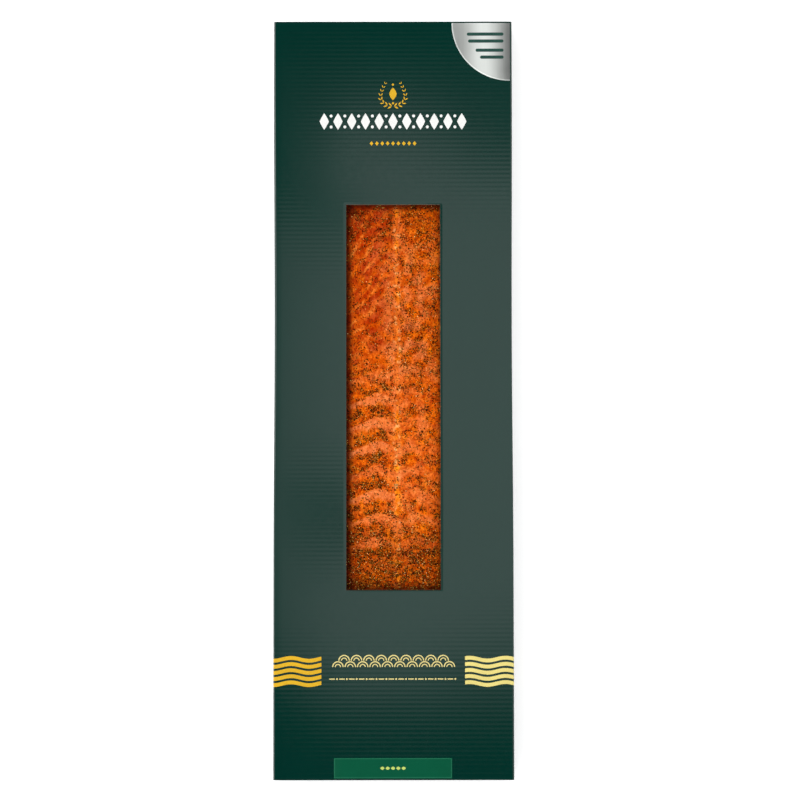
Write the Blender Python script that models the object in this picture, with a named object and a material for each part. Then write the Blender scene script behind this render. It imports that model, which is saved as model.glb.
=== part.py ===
"""A shut carton of fluted board with a long window in its front, over a side of herb-cured salmon.

The carton lies on its back. X runs across it, Y along it towards the wide end of the fish, and Z up
out of its front. Units are metres, and the origin is the middle of the face that it lies on.
"""

import math
import random

import bmesh
import bpy
from mathutils import Euler, Matrix, Vector

# Carton
CARTON_WIDTH = 0.1906
CARTON_LENGTH = 0.604
CARTON_DEPTH = 0.028
BOARD = 0.0016
FOLD_RADIUS = 0.0014
FOLD_STEPS = 3
END_BEVEL = 0.0004
WAIST = 0.0007
WAIST_MIDDLE = 0.055
WAIST_REACH = 0.185
WAIST_SECTIONS = 10

# Window in the front
WINDOW_WIDTH = 0.075
WINDOW_LENGTH = 0.307
WINDOW_MIDDLE = 0.0011

# Joins of the folded board that show at its ends and along its back
SEAM_WIDTH = 0.0004
SEAM_DEPTH = 0.0010
GLUE_LAP = 0.016

# Labels stuck on the front
LABEL_THICKNESS = 0.0003
GAP = 0.0003
CORNER_LABEL_RADIUS = 0.0466
CORNER_LABEL_STEPS = 24
CORNER_LABEL_INSET_X = 0.0016
CORNER_LABEL_INSET_Y = 0.0012
BASE_LABEL_WIDTH = 0.0935
BASE_LABEL_LENGTH = 0.0162
BASE_LABEL_INSET = 0.0013
BASE_LABEL_SHIFT = -0.0006

# Side of salmon
FISH_LENGTH = 0.556
FISH_HALF_WIDTH = 0.074
FISH_HEIGHT = 0.0202
SHOULDER = 0.100
TAIL_NARROWING = 0.42
TAIL_THINNING = 0.20
END_ROUNDNESS = 7.0
CROWN_POWER = 3.0
CROWN_ROOT = 0.55
LEAN = 0.014
SKIN_TUCK = 0.93
LATERAL_LINE = 0.0030
LATERAL_DEPTH = 0.0005
LATERAL_WIDTH = 0.0022
EDGE_HEIGHT = 0.0012
FISH_COLUMNS = (
    -1.0, -0.82, -0.66, -0.54, -0.44, -0.35, -0.28, -0.22, -0.16, -0.10, -0.04,
    0.04, 0.10, 0.15, 0.20, 0.24, 0.28, 0.34, 0.41, 0.49, 0.60, 0.80, 1.0,
)
HIDDEN_ROWS = 7

# Slices, which lie like shingles and follow the W of the muscle
SLICE_PITCH = 0.0190
SLICE_STEP = 0.0007
SLICE_LIP = 0.0009
ARC_PEAK_LEFT = -0.012
ARC_PEAK_RIGHT = 0.018
ARC_NOSE = 0.0045
ARC_SLOPE = 0.62
ARC_REACH = 0.012
SLICE_ZONE = 0.172
SLICE_FADE = 0.020

# Herbs that show through the window
HERB_COUNT = 210
HERB_LENGTHS = (0.0015, 0.0029)
HERB_WIDTH = 0.0010
HERB_HEIGHT = 0.0010
HERB_SUNK = 0.00005
HERB_BARE_SHARE = 0.30
HERB_MARGIN = 0.004
HERB_EVEN_FROM = 0.5
HERB_SPACING = 0.0034
HERB_TILT = 0.12
HERB_SEED = 7


def new_material(name, colour, roughness, metallic=0.0):
    """A plain Principled material in the colour of the real piece."""
    material = bpy.data.materials.new(name)
    material.use_nodes = True
    shader = material.node_tree.nodes["Principled BSDF"]
    shader.inputs["Base Color"].default_value = (*colour, 1.0)
    shader.inputs["Roughness"].default_value = roughness
    shader.inputs["Metallic"].default_value = metallic
    return material


def object_from(name, mesh_tool, material=None):
    """An object in the scene from a bmesh, with its faces turned outwards."""
    bmesh.ops.recalc_face_normals(mesh_tool, faces=mesh_tool.faces)
    mesh = bpy.data.meshes.new(name)
    mesh_tool.to_mesh(mesh)
    mesh_tool.free()
    made = bpy.data.objects.new(name, mesh)
    bpy.context.scene.collection.objects.link(made)
    if material:
        mesh.materials.append(material)
    return made


def half_width_at(y):
    """Half the carton's width, which is drawn in a little beside the window."""
    reach = min(abs(y - WAIST_MIDDLE) / WAIST_REACH, 1.0)
    return CARTON_WIDTH / 2 - WAIST * math.cos(reach * math.pi / 2) ** 2


def rounded_section(half_width, low, high, radius):
    """The corners of a rounded box section as (x, z), running once round it."""
    points = []
    middles = (
        (half_width - radius, high - radius, 0.0),
        (-half_width + radius, high - radius, 90.0),
        (-half_width + radius, low + radius, 180.0),
        (half_width - radius, low + radius, 270.0),
    )
    for middle_x, middle_z, start in middles:
        for step in range(FOLD_STEPS + 1):
            angle = math.radians(start + 90.0 * step / FOLD_STEPS)
            points.append((middle_x + radius * math.cos(angle), middle_z + radius * math.sin(angle)))
    return points


def loft(sections):
    """A closed bmesh through sections of equal count, each given as (y, [(x, z), ...])."""
    mesh_tool = bmesh.new()
    rings = [[mesh_tool.verts.new((x, y, z)) for x, z in points] for y, points in sections]
    for near, far in zip(rings, rings[1:]):
        for i in range(len(near)):
            j = (i + 1) % len(near)
            mesh_tool.faces.new((near[i], near[j], far[j], far[i]))
    mesh_tool.faces.new(rings[0])
    mesh_tool.faces.new(rings[-1])
    return mesh_tool


def lengthwise_places(end):
    """Places along the carton where its section is drawn, closest together in the waist."""
    places = [-end]
    for step in range(WAIST_SECTIONS + 1):
        places.append(WAIST_MIDDLE + WAIST_REACH * (2.0 * step / WAIST_SECTIONS - 1.0))
    return places + [end]


def box_between(name, low, high):
    """A plain box cutter between two corners."""
    mesh_tool = bmesh.new()
    bmesh.ops.create_cube(mesh_tool, size=1.0)
    low, high = Vector(low), Vector(high)
    bmesh.ops.transform(
        mesh_tool,
        matrix=Matrix.Translation((low + high) / 2) @ Matrix.Diagonal((*(high - low), 1.0)),
        verts=mesh_tool.verts,
    )
    return object_from(name, mesh_tool)


def subtract(target, cutters):
    """Cuts each cutter out of the target, one Boolean after another."""
    for cutter in cutters:
        cutter.hide_render = True
        cutter.display_type = "WIRE"
        cut = target.modifiers.new(cutter.name, "BOOLEAN")
        cut.operation = "DIFFERENCE"
        cut.solver = "EXACT"
        cut.object = cutter


def outer_carton(material):
    """The carton's whole outside, still solid."""
    end = CARTON_LENGTH / 2
    sections = [(-end, rounded_section(
        half_width_at(-end) - END_BEVEL, END_BEVEL, CARTON_DEPTH - END_BEVEL, FOLD_RADIUS
    ))]
    for y in lengthwise_places(end - END_BEVEL):
        sections.append((y, rounded_section(half_width_at(y), 0.0, CARTON_DEPTH, FOLD_RADIUS)))
    sections.append((end, rounded_section(
        half_width_at(end) - END_BEVEL, END_BEVEL, CARTON_DEPTH - END_BEVEL, FOLD_RADIUS
    )))
    return object_from("carton", loft(sections), material)


def inside_cutter():
    """The room inside the board."""
    end = CARTON_LENGTH / 2 - BOARD
    sections = []
    for y in lengthwise_places(end):
        section = rounded_section(half_width_at(y) - BOARD, BOARD, CARTON_DEPTH - BOARD, GAP)
        sections.append((y, section))
    return object_from("inside_cutter", loft(sections))


def window_cutter():
    """The die-cut window, right through the front."""
    return box_between(
        "window_cutter",
        (-WINDOW_WIDTH / 2, WINDOW_MIDDLE - WINDOW_LENGTH / 2, CARTON_DEPTH - 3 * BOARD),
        (WINDOW_WIDTH / 2, WINDOW_MIDDLE + WINDOW_LENGTH / 2, CARTON_DEPTH + 3 * BOARD),
    )


def end_seam_cutters(side):
    """Fine seams round the tucked flap at one end: under the front and beside both walls."""
    outside = side * (CARTON_LENGTH / 2 + BOARD)
    inside = side * (CARTON_LENGTH / 2 - SEAM_DEPTH)
    near, far = sorted((outside, inside))
    flap_half = CARTON_WIDTH / 2 - BOARD
    tag = "far" if side > 0 else "near"
    cutters = [box_between(
        f"front_seam_{tag}",
        (-flap_half, near, CARTON_DEPTH - BOARD - SEAM_WIDTH),
        (flap_half, far, CARTON_DEPTH - BOARD),
    )]
    for wall in (-1, 1):
        left, right = sorted((wall * flap_half, wall * (flap_half - SEAM_WIDTH)))
        cutters.append(box_between(
            f"wall_seam_{tag}_{'right' if wall > 0 else 'left'}",
            (left, near, BOARD),
            (right, far, CARTON_DEPTH - BOARD - SEAM_WIDTH / 2),
        ))
    return cutters


def glue_seam_cutter():
    """The fine step along the back, where the last panel laps over the glue flap."""
    seam_x = -CARTON_WIDTH / 2 + GLUE_LAP
    end = CARTON_LENGTH / 2 - 2 * BOARD
    return box_between(
        "glue_seam",
        (seam_x, -end, -BOARD),
        (seam_x + SEAM_WIDTH, end, SEAM_DEPTH / 2),
    )


def make_carton():
    """The folded board: four walls, two tucked ends and the window."""
    board = new_material("green_board", (0.021, 0.060, 0.050), 0.42)
    carton = outer_carton(board)
    cutters = [inside_cutter(), window_cutter()]
    cutters += end_seam_cutters(1) + end_seam_cutters(-1)
    cutters.append(glue_seam_cutter())
    subtract(carton, cutters)
    return carton


def prism(name, outline, low, height, material):
    """A flat plate over a closed outline of (x, y) points."""
    mesh_tool = bmesh.new()
    base = mesh_tool.faces.new([mesh_tool.verts.new((x, y, low)) for x, y in outline])
    grown = bmesh.ops.extrude_face_region(mesh_tool, geom=[base])
    top = [item for item in grown["geom"] if isinstance(item, bmesh.types.BMVert)]
    bmesh.ops.translate(mesh_tool, verts=top, vec=(0.0, 0.0, height))
    return object_from(name, mesh_tool, material)


def make_corner_label():
    """The silver quarter disc in the far right corner of the front."""
    silver = new_material("silver_foil", (0.62, 0.64, 0.62), 0.28, 0.9)
    corner_x = half_width_at(CARTON_LENGTH / 2) - CORNER_LABEL_INSET_X
    corner_y = CARTON_LENGTH / 2 - CORNER_LABEL_INSET_Y
    outline = [(corner_x, corner_y)]
    for step in range(CORNER_LABEL_STEPS + 1):
        angle = math.radians(180.0 + 90.0 * step / CORNER_LABEL_STEPS)
        outline.append((
            corner_x + CORNER_LABEL_RADIUS * math.cos(angle),
            corner_y + CORNER_LABEL_RADIUS * math.sin(angle),
        ))
    return prism("corner_label", outline, CARTON_DEPTH + GAP, LABEL_THICKNESS, silver)


def make_base_label():
    """The brighter green label at the near end of the front."""
    green = new_material("label_green", (0.004, 0.093, 0.048), 0.38)
    near = -CARTON_LENGTH / 2 + BASE_LABEL_INSET
    left = BASE_LABEL_SHIFT - BASE_LABEL_WIDTH / 2
    right = BASE_LABEL_SHIFT + BASE_LABEL_WIDTH / 2
    far = near + BASE_LABEL_LENGTH
    outline = [(left, near), (right, near), (right, far), (left, far)]
    return prism("base_label", outline, CARTON_DEPTH + GAP, LABEL_THICKNESS, green)


def towards_tail(y):
    """0 from the wide end to the shoulder, rising to 1 at the tail."""
    return max(0.0, (SHOULDER - y) / (SHOULDER + FISH_LENGTH / 2))


def end_rounding(y):
    """1 along the fish, falling to 0 at each tip."""
    share = min(abs(y) / (FISH_LENGTH / 2), 1.0)
    return math.sqrt(1.0 - share ** END_ROUNDNESS)


def fish_half_width(y):
    return FISH_HALF_WIDTH * (1.0 - TAIL_NARROWING * towards_tail(y) ** 2) * end_rounding(y)


def arc_lag(x):
    """How far a slice's edge at x lies behind its foremost point: two arcs that meet at the lateral line."""
    peak = ARC_PEAK_LEFT if x < LATERAL_LINE else ARC_PEAK_RIGHT
    lag = ARC_SLOPE * (math.hypot(x - peak, ARC_NOSE) - ARC_NOSE)
    return ARC_REACH * math.tanh(lag / ARC_REACH)


def slice_phase(x, y):
    """0 just below one slice's free edge, rising to 1 at the free edge of the slice behind it."""
    return ((FISH_LENGTH - y - arc_lag(x)) / SLICE_PITCH) % 1.0


def in_slice_zone(y):
    """1 under the window, falling to 0 where the carton hides the fish."""
    return min(max((SLICE_ZONE - abs(y)) / SLICE_FADE, 0.0), 1.0)


def slice_lift(x, y):
    """The shingled surface: it climbs along each slice and drops over a short lip."""
    phase = slice_phase(x, y)
    lip = 1.0 - SLICE_LIP / SLICE_PITCH
    climb = phase / lip if phase < lip else (1.0 - phase) / (1.0 - lip)
    return SLICE_STEP * climb * in_slice_zone(y)


def fish_top(x, y):
    """Height of the fish's upper face over the board it lies on."""
    half = max(fish_half_width(y), 1e-6)
    across = min(abs(x) / half, 1.0)
    crown = (1.0 - across ** CROWN_POWER) ** CROWN_ROOT
    height = FISH_HEIGHT * (1.0 - TAIL_THINNING * towards_tail(y) ** 2) * end_rounding(y)
    crease = LATERAL_DEPTH * math.exp(-((x - LATERAL_LINE) / LATERAL_WIDTH) ** 2)
    return max(crown * (height + LEAN * x - crease + slice_lift(x, y)), EDGE_HEIGHT)


def fish_rows():
    """Places along the fish, from the tail: foot, lip and middle of each slice that shows, few beyond."""
    tip = FISH_LENGTH / 2 - EDGE_HEIGHT / 2
    tail_end = [
        -SLICE_ZONE - (tip - SLICE_ZONE) * math.sin(math.pi / 2 * step / HIDDEN_ROWS)
        for step in range(HIDDEN_ROWS, -1, -1)
    ]
    rows = list(tail_end)
    for number in range(int(2 * FISH_LENGTH / SLICE_PITCH), 0, -1):
        edge = FISH_LENGTH - number * SLICE_PITCH
        for place in (edge, edge + SLICE_LIP, edge + SLICE_PITCH / 2):
            if abs(place) < SLICE_ZONE - SLICE_LIP:
                rows.append(place)
    return rows + [-place for place in reversed(tail_end)]


def fish_body(material):
    """The side of fish, flat below, with its upper face gridded along the slices."""
    mesh_tool = bmesh.new()
    floor = BOARD + GAP
    tops = []
    for y in fish_rows():
        row = []
        for column in FISH_COLUMNS:
            x = column * fish_half_width(y)
            place = y - arc_lag(x) * in_slice_zone(y)
            row.append(mesh_tool.verts.new((x, place, floor + fish_top(x, place))))
        tops.append(row)
    for near, far in zip(tops, tops[1:]):
        for i in range(len(near) - 1):
            mesh_tool.faces.new((near[i], near[i + 1], far[i + 1], far[i]))
    border = tops[0] + [row[-1] for row in tops[1:-1]] + tops[-1][::-1] + [row[0] for row in tops[-2:0:-1]]
    feet = [
        mesh_tool.verts.new((corner.co.x * SKIN_TUCK, corner.co.y * SKIN_TUCK, floor)) for corner in border
    ]
    for i in range(len(border)):
        j = (i + 1) % len(border)
        mesh_tool.faces.new((border[i], border[j], feet[j], feet[i]))
    mesh_tool.faces.new(feet)
    return object_from("fillet", mesh_tool, material)


def herb_places():
    """Seeded places for the herbs, thickest behind each slice's free edge and thin on its bare part."""
    draw = random.Random(HERB_SEED)
    reach_x = WINDOW_WIDTH / 2 + HERB_MARGIN
    reach_y = WINDOW_LENGTH / 2 + HERB_MARGIN
    places = []
    while len(places) < HERB_COUNT:
        x = draw.uniform(-reach_x, reach_x)
        y = WINDOW_MIDDLE + draw.uniform(-reach_y, reach_y)
        if slice_phase(x, y) < HERB_BARE_SHARE and y < HERB_EVEN_FROM * reach_y:
            continue
        if all((x - a) ** 2 + (y - b) ** 2 > HERB_SPACING ** 2 for a, b, _, _ in places):
            places.append((x, y, draw.uniform(*HERB_LENGTHS), draw.uniform(0.0, math.pi)))
    return places


def make_herb(number, place):
    """One flake: a slim bead lying on the fish, half sunk in it."""
    x, y, length, turn = place
    mesh_tool = bmesh.new()
    bmesh.ops.create_icosphere(mesh_tool, subdivisions=1, radius=0.5)
    height = BOARD + GAP + fish_top(x, y) - HERB_SUNK
    tilt = Euler((HERB_TILT * math.sin(number), HERB_TILT * math.cos(number), turn))
    matrix = (
        Matrix.Translation((x, y, height))
        @ tilt.to_matrix().to_4x4()
        @ Matrix.Diagonal((length, HERB_WIDTH, HERB_HEIGHT, 1.0))
    )
    bmesh.ops.transform(mesh_tool, matrix=matrix, verts=mesh_tool.verts)
    return object_from(f"herb_{number}", mesh_tool)


def make_fillet():
    """The fish with its herbs fused on."""
    flesh = new_material("cured_flesh", (0.60, 0.135, 0.028), 0.32)
    fillet = fish_body(flesh)
    herbs = bpy.data.collections.new("herbs")
    bpy.context.scene.collection.children.link(herbs)
    for number, place in enumerate(herb_places()):
        herb = make_herb(number, place)
        bpy.context.scene.collection.objects.unlink(herb)
        herbs.objects.link(herb)
    join = fillet.modifiers.new("herbs", "BOOLEAN")
    join.operation = "UNION"
    join.solver = "MANIFOLD"
    join.operand_type = "COLLECTION"
    join.collection = herbs
    bpy.context.view_layer.update()
    graph = bpy.context.evaluated_depsgraph_get()
    fused = bpy.data.meshes.new_from_object(fillet.evaluated_get(graph))
    fillet.modifiers.clear()
    fillet.data = fused
    for herb in list(herbs.objects):
        bpy.data.objects.remove(herb)
    bpy.data.collections.remove(herbs)
    return fillet


def main():
    for old in list(bpy.data.objects):
        bpy.data.objects.remove(old)
    make_carton()
    make_fillet()
    make_corner_label()
    make_base_label()


main()
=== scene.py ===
"""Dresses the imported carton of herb-cured salmon: fluted board, print, labels, fish, herbs, film and stage.

Units are metres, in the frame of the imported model: X across the carton, Y along it towards the wide end
of the fish, Z up out of the front. The origin is the middle of the back, which the carton lies on.
"""

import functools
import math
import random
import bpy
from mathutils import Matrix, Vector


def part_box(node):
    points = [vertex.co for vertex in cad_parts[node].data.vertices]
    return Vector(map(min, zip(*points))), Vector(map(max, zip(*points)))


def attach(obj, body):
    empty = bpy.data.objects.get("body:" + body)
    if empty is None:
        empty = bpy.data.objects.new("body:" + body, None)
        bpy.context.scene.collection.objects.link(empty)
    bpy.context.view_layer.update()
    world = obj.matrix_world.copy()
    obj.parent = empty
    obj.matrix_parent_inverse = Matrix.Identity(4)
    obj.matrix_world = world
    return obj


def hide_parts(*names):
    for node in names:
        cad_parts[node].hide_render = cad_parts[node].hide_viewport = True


bl_info = {
    "name": "Boxed side of salmon",
    "version": (1, 0, 0),
    "blender": (4, 5, 0),
    "location": "3D View > Sidebar > Salmon box",
    "description": "A shut carton of fluted board with a long window over a herb-cured side of salmon",
    "category": "Object",
}

import bmesh
import bpy
import numpy as np
from bpy.props import FloatProperty, FloatVectorProperty, IntProperty, PointerProperty
from mathutils import Vector, noise

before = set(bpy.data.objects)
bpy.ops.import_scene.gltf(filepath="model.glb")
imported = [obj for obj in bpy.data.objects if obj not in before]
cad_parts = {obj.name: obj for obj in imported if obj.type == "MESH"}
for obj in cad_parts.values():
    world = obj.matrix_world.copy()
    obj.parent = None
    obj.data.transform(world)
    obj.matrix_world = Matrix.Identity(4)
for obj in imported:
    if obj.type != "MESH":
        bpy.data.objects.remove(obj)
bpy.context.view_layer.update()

CARTON_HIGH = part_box("carton")[1]
FISH_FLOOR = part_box("fillet")[0].z
CORNER_LOW, CORNER_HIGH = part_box("corner_label")
BASE_LOW, BASE_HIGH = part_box("base_label")
END_Y = CARTON_HIGH.y
FRONT_Z = CARTON_HIGH.z
MM = 0.001

# The waist of the carton, as in the solids
WAIST = 0.0007
WAIST_MIDDLE = 0.055
WAIST_REACH = 0.185

# Left free at each side for the ink that runs over the folds
PRINT_ROOM = 0.03 * MM

# How far from a fold the front starts to fall away
ROLL_REACH = 0.006

# The form of the fish, as in the solids
FISH_LENGTH = 0.556
FISH_HALF_WIDTH = 0.074
FISH_HEIGHT = 0.0202
SHOULDER = 0.100
TAIL_NARROWING = 0.42
TAIL_THINNING = 0.20
END_ROUNDNESS = 7.0
CROWN_POWER = 3.0
CROWN_ROOT = 0.55
LEAN = 0.014
SKIN_TUCK = 0.93
EDGE_HEIGHT = 0.0012
LATERAL_LINE = 0.0030
LATERAL_DEPTH = 0.0005
LATERAL_WIDTH = 0.0022
SLICE_PITCH = 0.0190
SLICE_STEP = 0.0007
SLICE_LIP = 0.0009
ARC_PEAK_LEFT = -0.012
ARC_PEAK_RIGHT = 0.018
ARC_NOSE = 0.0045
ARC_SLOPE = 0.62
ARC_REACH = 0.012
SLICE_ZONE = 0.172
SLICE_FADE = 0.020

# The part of the fish that is gridded finely: its share of the half width, its columns and its reach along
FINE_SHARE = 0.70
FINE_COLUMNS = 142
FINE_REACH = 0.163

# Herbs reach this far along from the middle, and marks on a label stand this far off it
HERB_REACH = 0.160
MARK_LIFT = 0.02 * MM

# Square metres hold this many square decimetres
DECIMETRES = 100.0


def length(name, description, default, low=0.0, high=3.0):
    return FloatProperty(
        name=name, description=description, default=default, min=low, max=high,
        unit="LENGTH", subtype="DISTANCE", precision=5,
    )


def colour(name, description, default):
    return FloatVectorProperty(
        name=name, description=description, default=default, size=3, min=0.0, max=1.0, subtype="COLOR"
    )


def amount(name, description, default, high=100.0):
    return FloatProperty(name=name, description=description, default=default, min=0.0, max=high)


def angle(name, description, degrees):
    return FloatProperty(name=name, description=description, default=math.radians(degrees), subtype="ANGLE")


def count(name, description, default, high=20000):
    return IntProperty(name=name, description=description, default=default, min=1, max=high)


class BoardSettings(bpy.types.PropertyGroup):
    thickness: length("Board thickness", "Liner to liner", 0.0016)
    flute_pitch: length("Flute pitch", "From one flute to the next", 0.0035)
    flute_relief: length("Washboard", "How deep the front liner dips between flutes", 0.000009)
    rolled: length("Rolled edge", "How far the front falls away towards its folds", 0.00005)
    sag: length("Sag", "How far the front dips between its folds", 0.00022)
    ripple: length("Ripple", "Slow unevenness of the front", 0.00004)
    fold_radius: length("Fold radius", "Outer radius of the long folds", 0.0014)
    window_width: length("Window width", "Across the carton", 0.075)
    window_length: length("Window length", "Along the carton", 0.307)
    window_middle: length("Window place", "Middle of the window along the carton", 0.0011)
    crushed: length("Crushed edge", "How far the cut edge of the window is pressed down", 0.00016)
    pocket: length("Flute mouth", "How deep the flutes open at the cut edge", 0.0009)
    green: colour("Board green", "Matt laminate of the outside", (0.0003, 0.0228, 0.0165))
    worn: colour("Worn green", "Laminate where a fold has rubbed it", (0.020, 0.055, 0.045))
    paper: colour("Raw paper", "Cut edges and inside", (0.250, 0.150, 0.100))


class PrintSettings(bpy.types.PropertyGroup):
    lift: length("Ink lift", "How far the ink stands on the board", 0.00003)
    deep_gold: colour("Deep gold", "Left waves and the ornaments at the head", (0.580, 0.335, 0.010))
    # Painted light: the right waves get a paler gold that stands in for brighter light on that side
    painted_lit_gold: colour("Pale gold", "Right waves", (0.640, 0.540, 0.170))
    white: colour("White", "Frieze at the head", (0.740, 0.740, 0.720))
    cream: colour("Cream", "Friezes at the foot", (0.640, 0.540, 0.210))
    bands: count("Wave bands", "Bands in each group of waves", 5, 12)
    band_width: length("Band width", "Of one wave band", 0.0030)
    band_pitch: length("Band pitch", "From one wave band to the next", 0.0048)
    wave_height: length("Wave height", "Half the rise of a wave", 0.0011)
    wave_length: length("Wave length", "Crest to crest", 0.0285)
    wave_middle: length("Wave place", "Middle of the waves along the carton", -0.2165, -1.0)
    wave_wall: length("Wave reach", "How far the waves run down the walls", 0.012)
    wreath_y: length("Wreath place", "Middle of the gold wreath along the carton", 0.2432, -1.0)
    white_y: length("White place", "Middle of the white frieze", 0.2215, -1.0)
    dots_y: length("Dots place", "Middle of the row of gold dots", 0.2038, -1.0)
    cream_y: length("Cream place", "Foot of the first row of arches", -0.2130, -1.0)
    white_pitch: length("Frieze pitch", "From one white lozenge to the next", 0.011)


class LabelSettings(bpy.types.PropertyGroup):
    thickness: length("Label thickness", "Paper and glue", 0.00022)
    silver: colour("Silver", "Foil of the corner label", (0.760, 0.790, 0.760))
    base_green: colour("Label green", "Label at the foot", (0.0001, 0.0700, 0.0325))
    base_line: colour("Border green", "Thin line round that label", (0.020, 0.150, 0.080))
    bar_green: colour("Bar green", "Bars on the silver", (0.006, 0.045, 0.034))
    lime: colour("Lime", "Dots on the green label", (0.450, 0.560, 0.120))


class FishSettings(bpy.types.PropertyGroup):
    orange: colour("Flesh", "Cured flesh", (0.800, 0.150, 0.003))
    golden: colour("Golden flesh", "Flesh steeped in the cure", (0.830, 0.208, 0.003))
    # Also the colour of painted shade at the head end of the window, and of darker flesh along its left side
    deep: colour("Deep flesh", "Darker muscle towards the belly", (0.480, 0.042, 0.001))
    pink: colour("Bare slice", "Fresh cut that the herbs leave bare", (0.830, 0.240, 0.074))
    fat: colour("Lateral fat", "Fat along the lateral line", (1.000, 0.285, 0.004))
    cream: colour("Pale fat", "Palest spots of fat", (0.960, 0.520, 0.190))
    # Also the colour of the painted shade towards the head end of the window
    stain_and_shade: colour("Herb stain", "Flesh darkened under the herbs", (0.220, 0.030, 0.001))
    # Colour of the painted shadow that the window's edges cast on the fish
    rim: colour("Rim", "Dark meat and skin towards the sides", (0.110, 0.010, 0.001))
    wetness: amount("Wetness", "Coat over the flesh", 0.02, 1.0)


class HerbSettings(bpy.types.PropertyGroup):
    crumbs: count("Crumbs", "Fine crumbs of dried herb to the square decimetre", 14000)
    leaves: count("Leaves", "Leaf flakes to the square decimetre", 800)
    strands: count("Strands", "Dill strands to the square decimetre", 120)
    seeds: count("Seeds", "Pale grains to the square decimetre", 2100)
    seed_number: count("Random seed", "Changes where the herbs fall", 11, 9999)
    dark: colour("Darkest herb", "Nearly black", (0.008, 0.003, 0.001))
    brown: colour("Brown herb", "Most of the flakes", (0.048, 0.013, 0.001))
    olive: colour("Olive herb", "Greener flakes", (0.120, 0.068, 0.008))
    grain: colour("Pale grain", "Seeds and salt", (0.800, 0.420, 0.060))
    salt: colour("Palest grain", "Lightest of the seeds and salt", (0.950, 0.660, 0.250))
    dust: colour("Herb dust", "Specks between the flakes", (0.070, 0.010, 0.001))


class FilmSettings(bpy.types.PropertyGroup):
    clearance: length("Film clearance", "How far the film stands off the flesh", 0.0009)
    thickness: length("Film thickness", "Of the vacuum film", 0.00006)
    wrinkle: length("Wrinkle height", "Of the creases in the film", 0.00022)
    tint: colour("Film tint", "What the film lets through", (0.985, 0.985, 0.980))


class StageSettings(bpy.types.PropertyGroup):
    lens: amount("Lens", "Focal length in millimetres", 100.0, 1000.0)
    distance: length("Camera distance", "From the front of the carton", 1.7675, 0.1, 9.0)
    tilt: angle("Tilt", "How far the camera leans towards the foot", 2.6)
    roll: angle("Roll", "How far the camera is turned about its view", -0.078)
    aim_x: length("Aim across", "Where the middle of the picture falls", 0.0052, -1.0)
    aim_y: length("Aim along", "Where the middle of the picture falls", -0.0016, -1.0)
    floor: colour("Floor", "Plain pale floor", (0.900, 0.900, 0.900))
    floor_reach: length("Floor reach", "Half a side of the floor", 6.0, 1.0, 20.0)
    glow: amount("Floor glow", "Light from under the floor", 0.36)
    panel: amount("Panel", "Brightness of the soft panel overhead", 1.04)
    ring: amount("Ring", "Brightness of the white tent at half height", 2.0)
    skirt: amount("Skirt", "Brightness of the tent near the floor", 0.5)
    key: amount("Key light", "Watts, from the left", 4.0)
    backdrop: amount("Backdrop", "Brightness that the camera sees", 1.0)


# Small tools for nodes

def fill(tree, node, values):
    """Gives a node's inputs a value or a link; a plain colour gets its alpha."""
    for key, value in values.items():
        socket = node.inputs[key]
        if isinstance(value, bpy.types.NodeSocket):
            tree.links.new(value, socket)
        elif socket.type == "RGBA" and len(value) == 3:
            socket.default_value = (*value, 1.0)
        else:
            socket.default_value = value


def add_node(tree, kind, values=None, **options):
    """A node with its options set and its inputs given a value or a link."""
    made = tree.nodes.new(kind)
    for name, option in options.items():
        setattr(made, name, option)
    fill(tree, made, values or {})
    return made


def maths(tree, operation, *values):
    """A Math node's output."""
    return add_node(tree, "ShaderNodeMath", dict(enumerate(values)), operation=operation).outputs[0]


def times(tree, *values):
    return functools.reduce(lambda first, second: maths(tree, "MULTIPLY", first, second), values)


def plus(tree, *values):
    return functools.reduce(lambda first, second: maths(tree, "ADD", first, second), values)


def minus(tree, first, second):
    return maths(tree, "SUBTRACT", first, second)


def mixed(tree, factor, first, second):
    """A value between two values."""
    return add_node(tree, "ShaderNodeMix", {0: factor, 2: first, 3: second}).outputs[0]


def blended(tree, factor, first, second, blend="MIX"):
    """A colour between two colours."""
    values = {0: factor, 6: first, 7: second}
    return add_node(tree, "ShaderNodeMix", values, data_type="RGBA", blend_type=blend).outputs[2]


def stepped(tree, value, low, high, to_low=0.0, to_high=1.0):
    """A value mapped smoothly from one range to another."""
    values = {"Value": value, "From Min": low, "From Max": high, "To Min": to_low, "To Max": to_high}
    return add_node(tree, "ShaderNodeMapRange", values, interpolation_type="SMOOTHSTEP").outputs[0]


def attribute(tree, name):
    return add_node(tree, "ShaderNodeAttribute", attribute_name=name).outputs["Fac"]


def place_of(tree):
    return add_node(tree, "ShaderNodeTexCoord").outputs["Object"]


def noise_at(tree, place, scale, detail=2.0, roughness=0.5, stretch=(1.0, 1.0, 1.0)):
    """Noise over the object, finer for a greater scale, drawn out where stretch is small."""
    mapped = add_node(tree, "ShaderNodeMapping", {"Vector": place, "Scale": stretch}).outputs[0]
    values = {"Vector": mapped, "Scale": scale, "Detail": detail, "Roughness": roughness}
    return add_node(tree, "ShaderNodeTexNoise", values).outputs["Fac"]


def bumped(tree, height, distance, strength=1.0):
    values = {"Height": height, "Distance": distance, "Strength": strength}
    return add_node(tree, "ShaderNodeBump", values).outputs[0]


def new_group(name, inputs, outputs, kind="ShaderNodeTree"):
    """A node group: the tree, its input's outputs and its output node.

    Each input is given by its default value, or by its kind where it has no default.
    """
    tree = bpy.data.node_groups.new(name, kind)
    for label, given in inputs.items():
        plain = {int: "Int", float: "Float"}.get(type(given))
        made = tree.interface.new_socket(label, in_out="INPUT", socket_type=f"NodeSocket{plain or given}")
        if plain:
            made.default_value = given
    for label, given in outputs.items():
        tree.interface.new_socket(label, in_out="OUTPUT", socket_type=f"NodeSocket{given}")
    return tree, tree.nodes.new("NodeGroupInput").outputs, tree.nodes.new("NodeGroupOutput")


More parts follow.
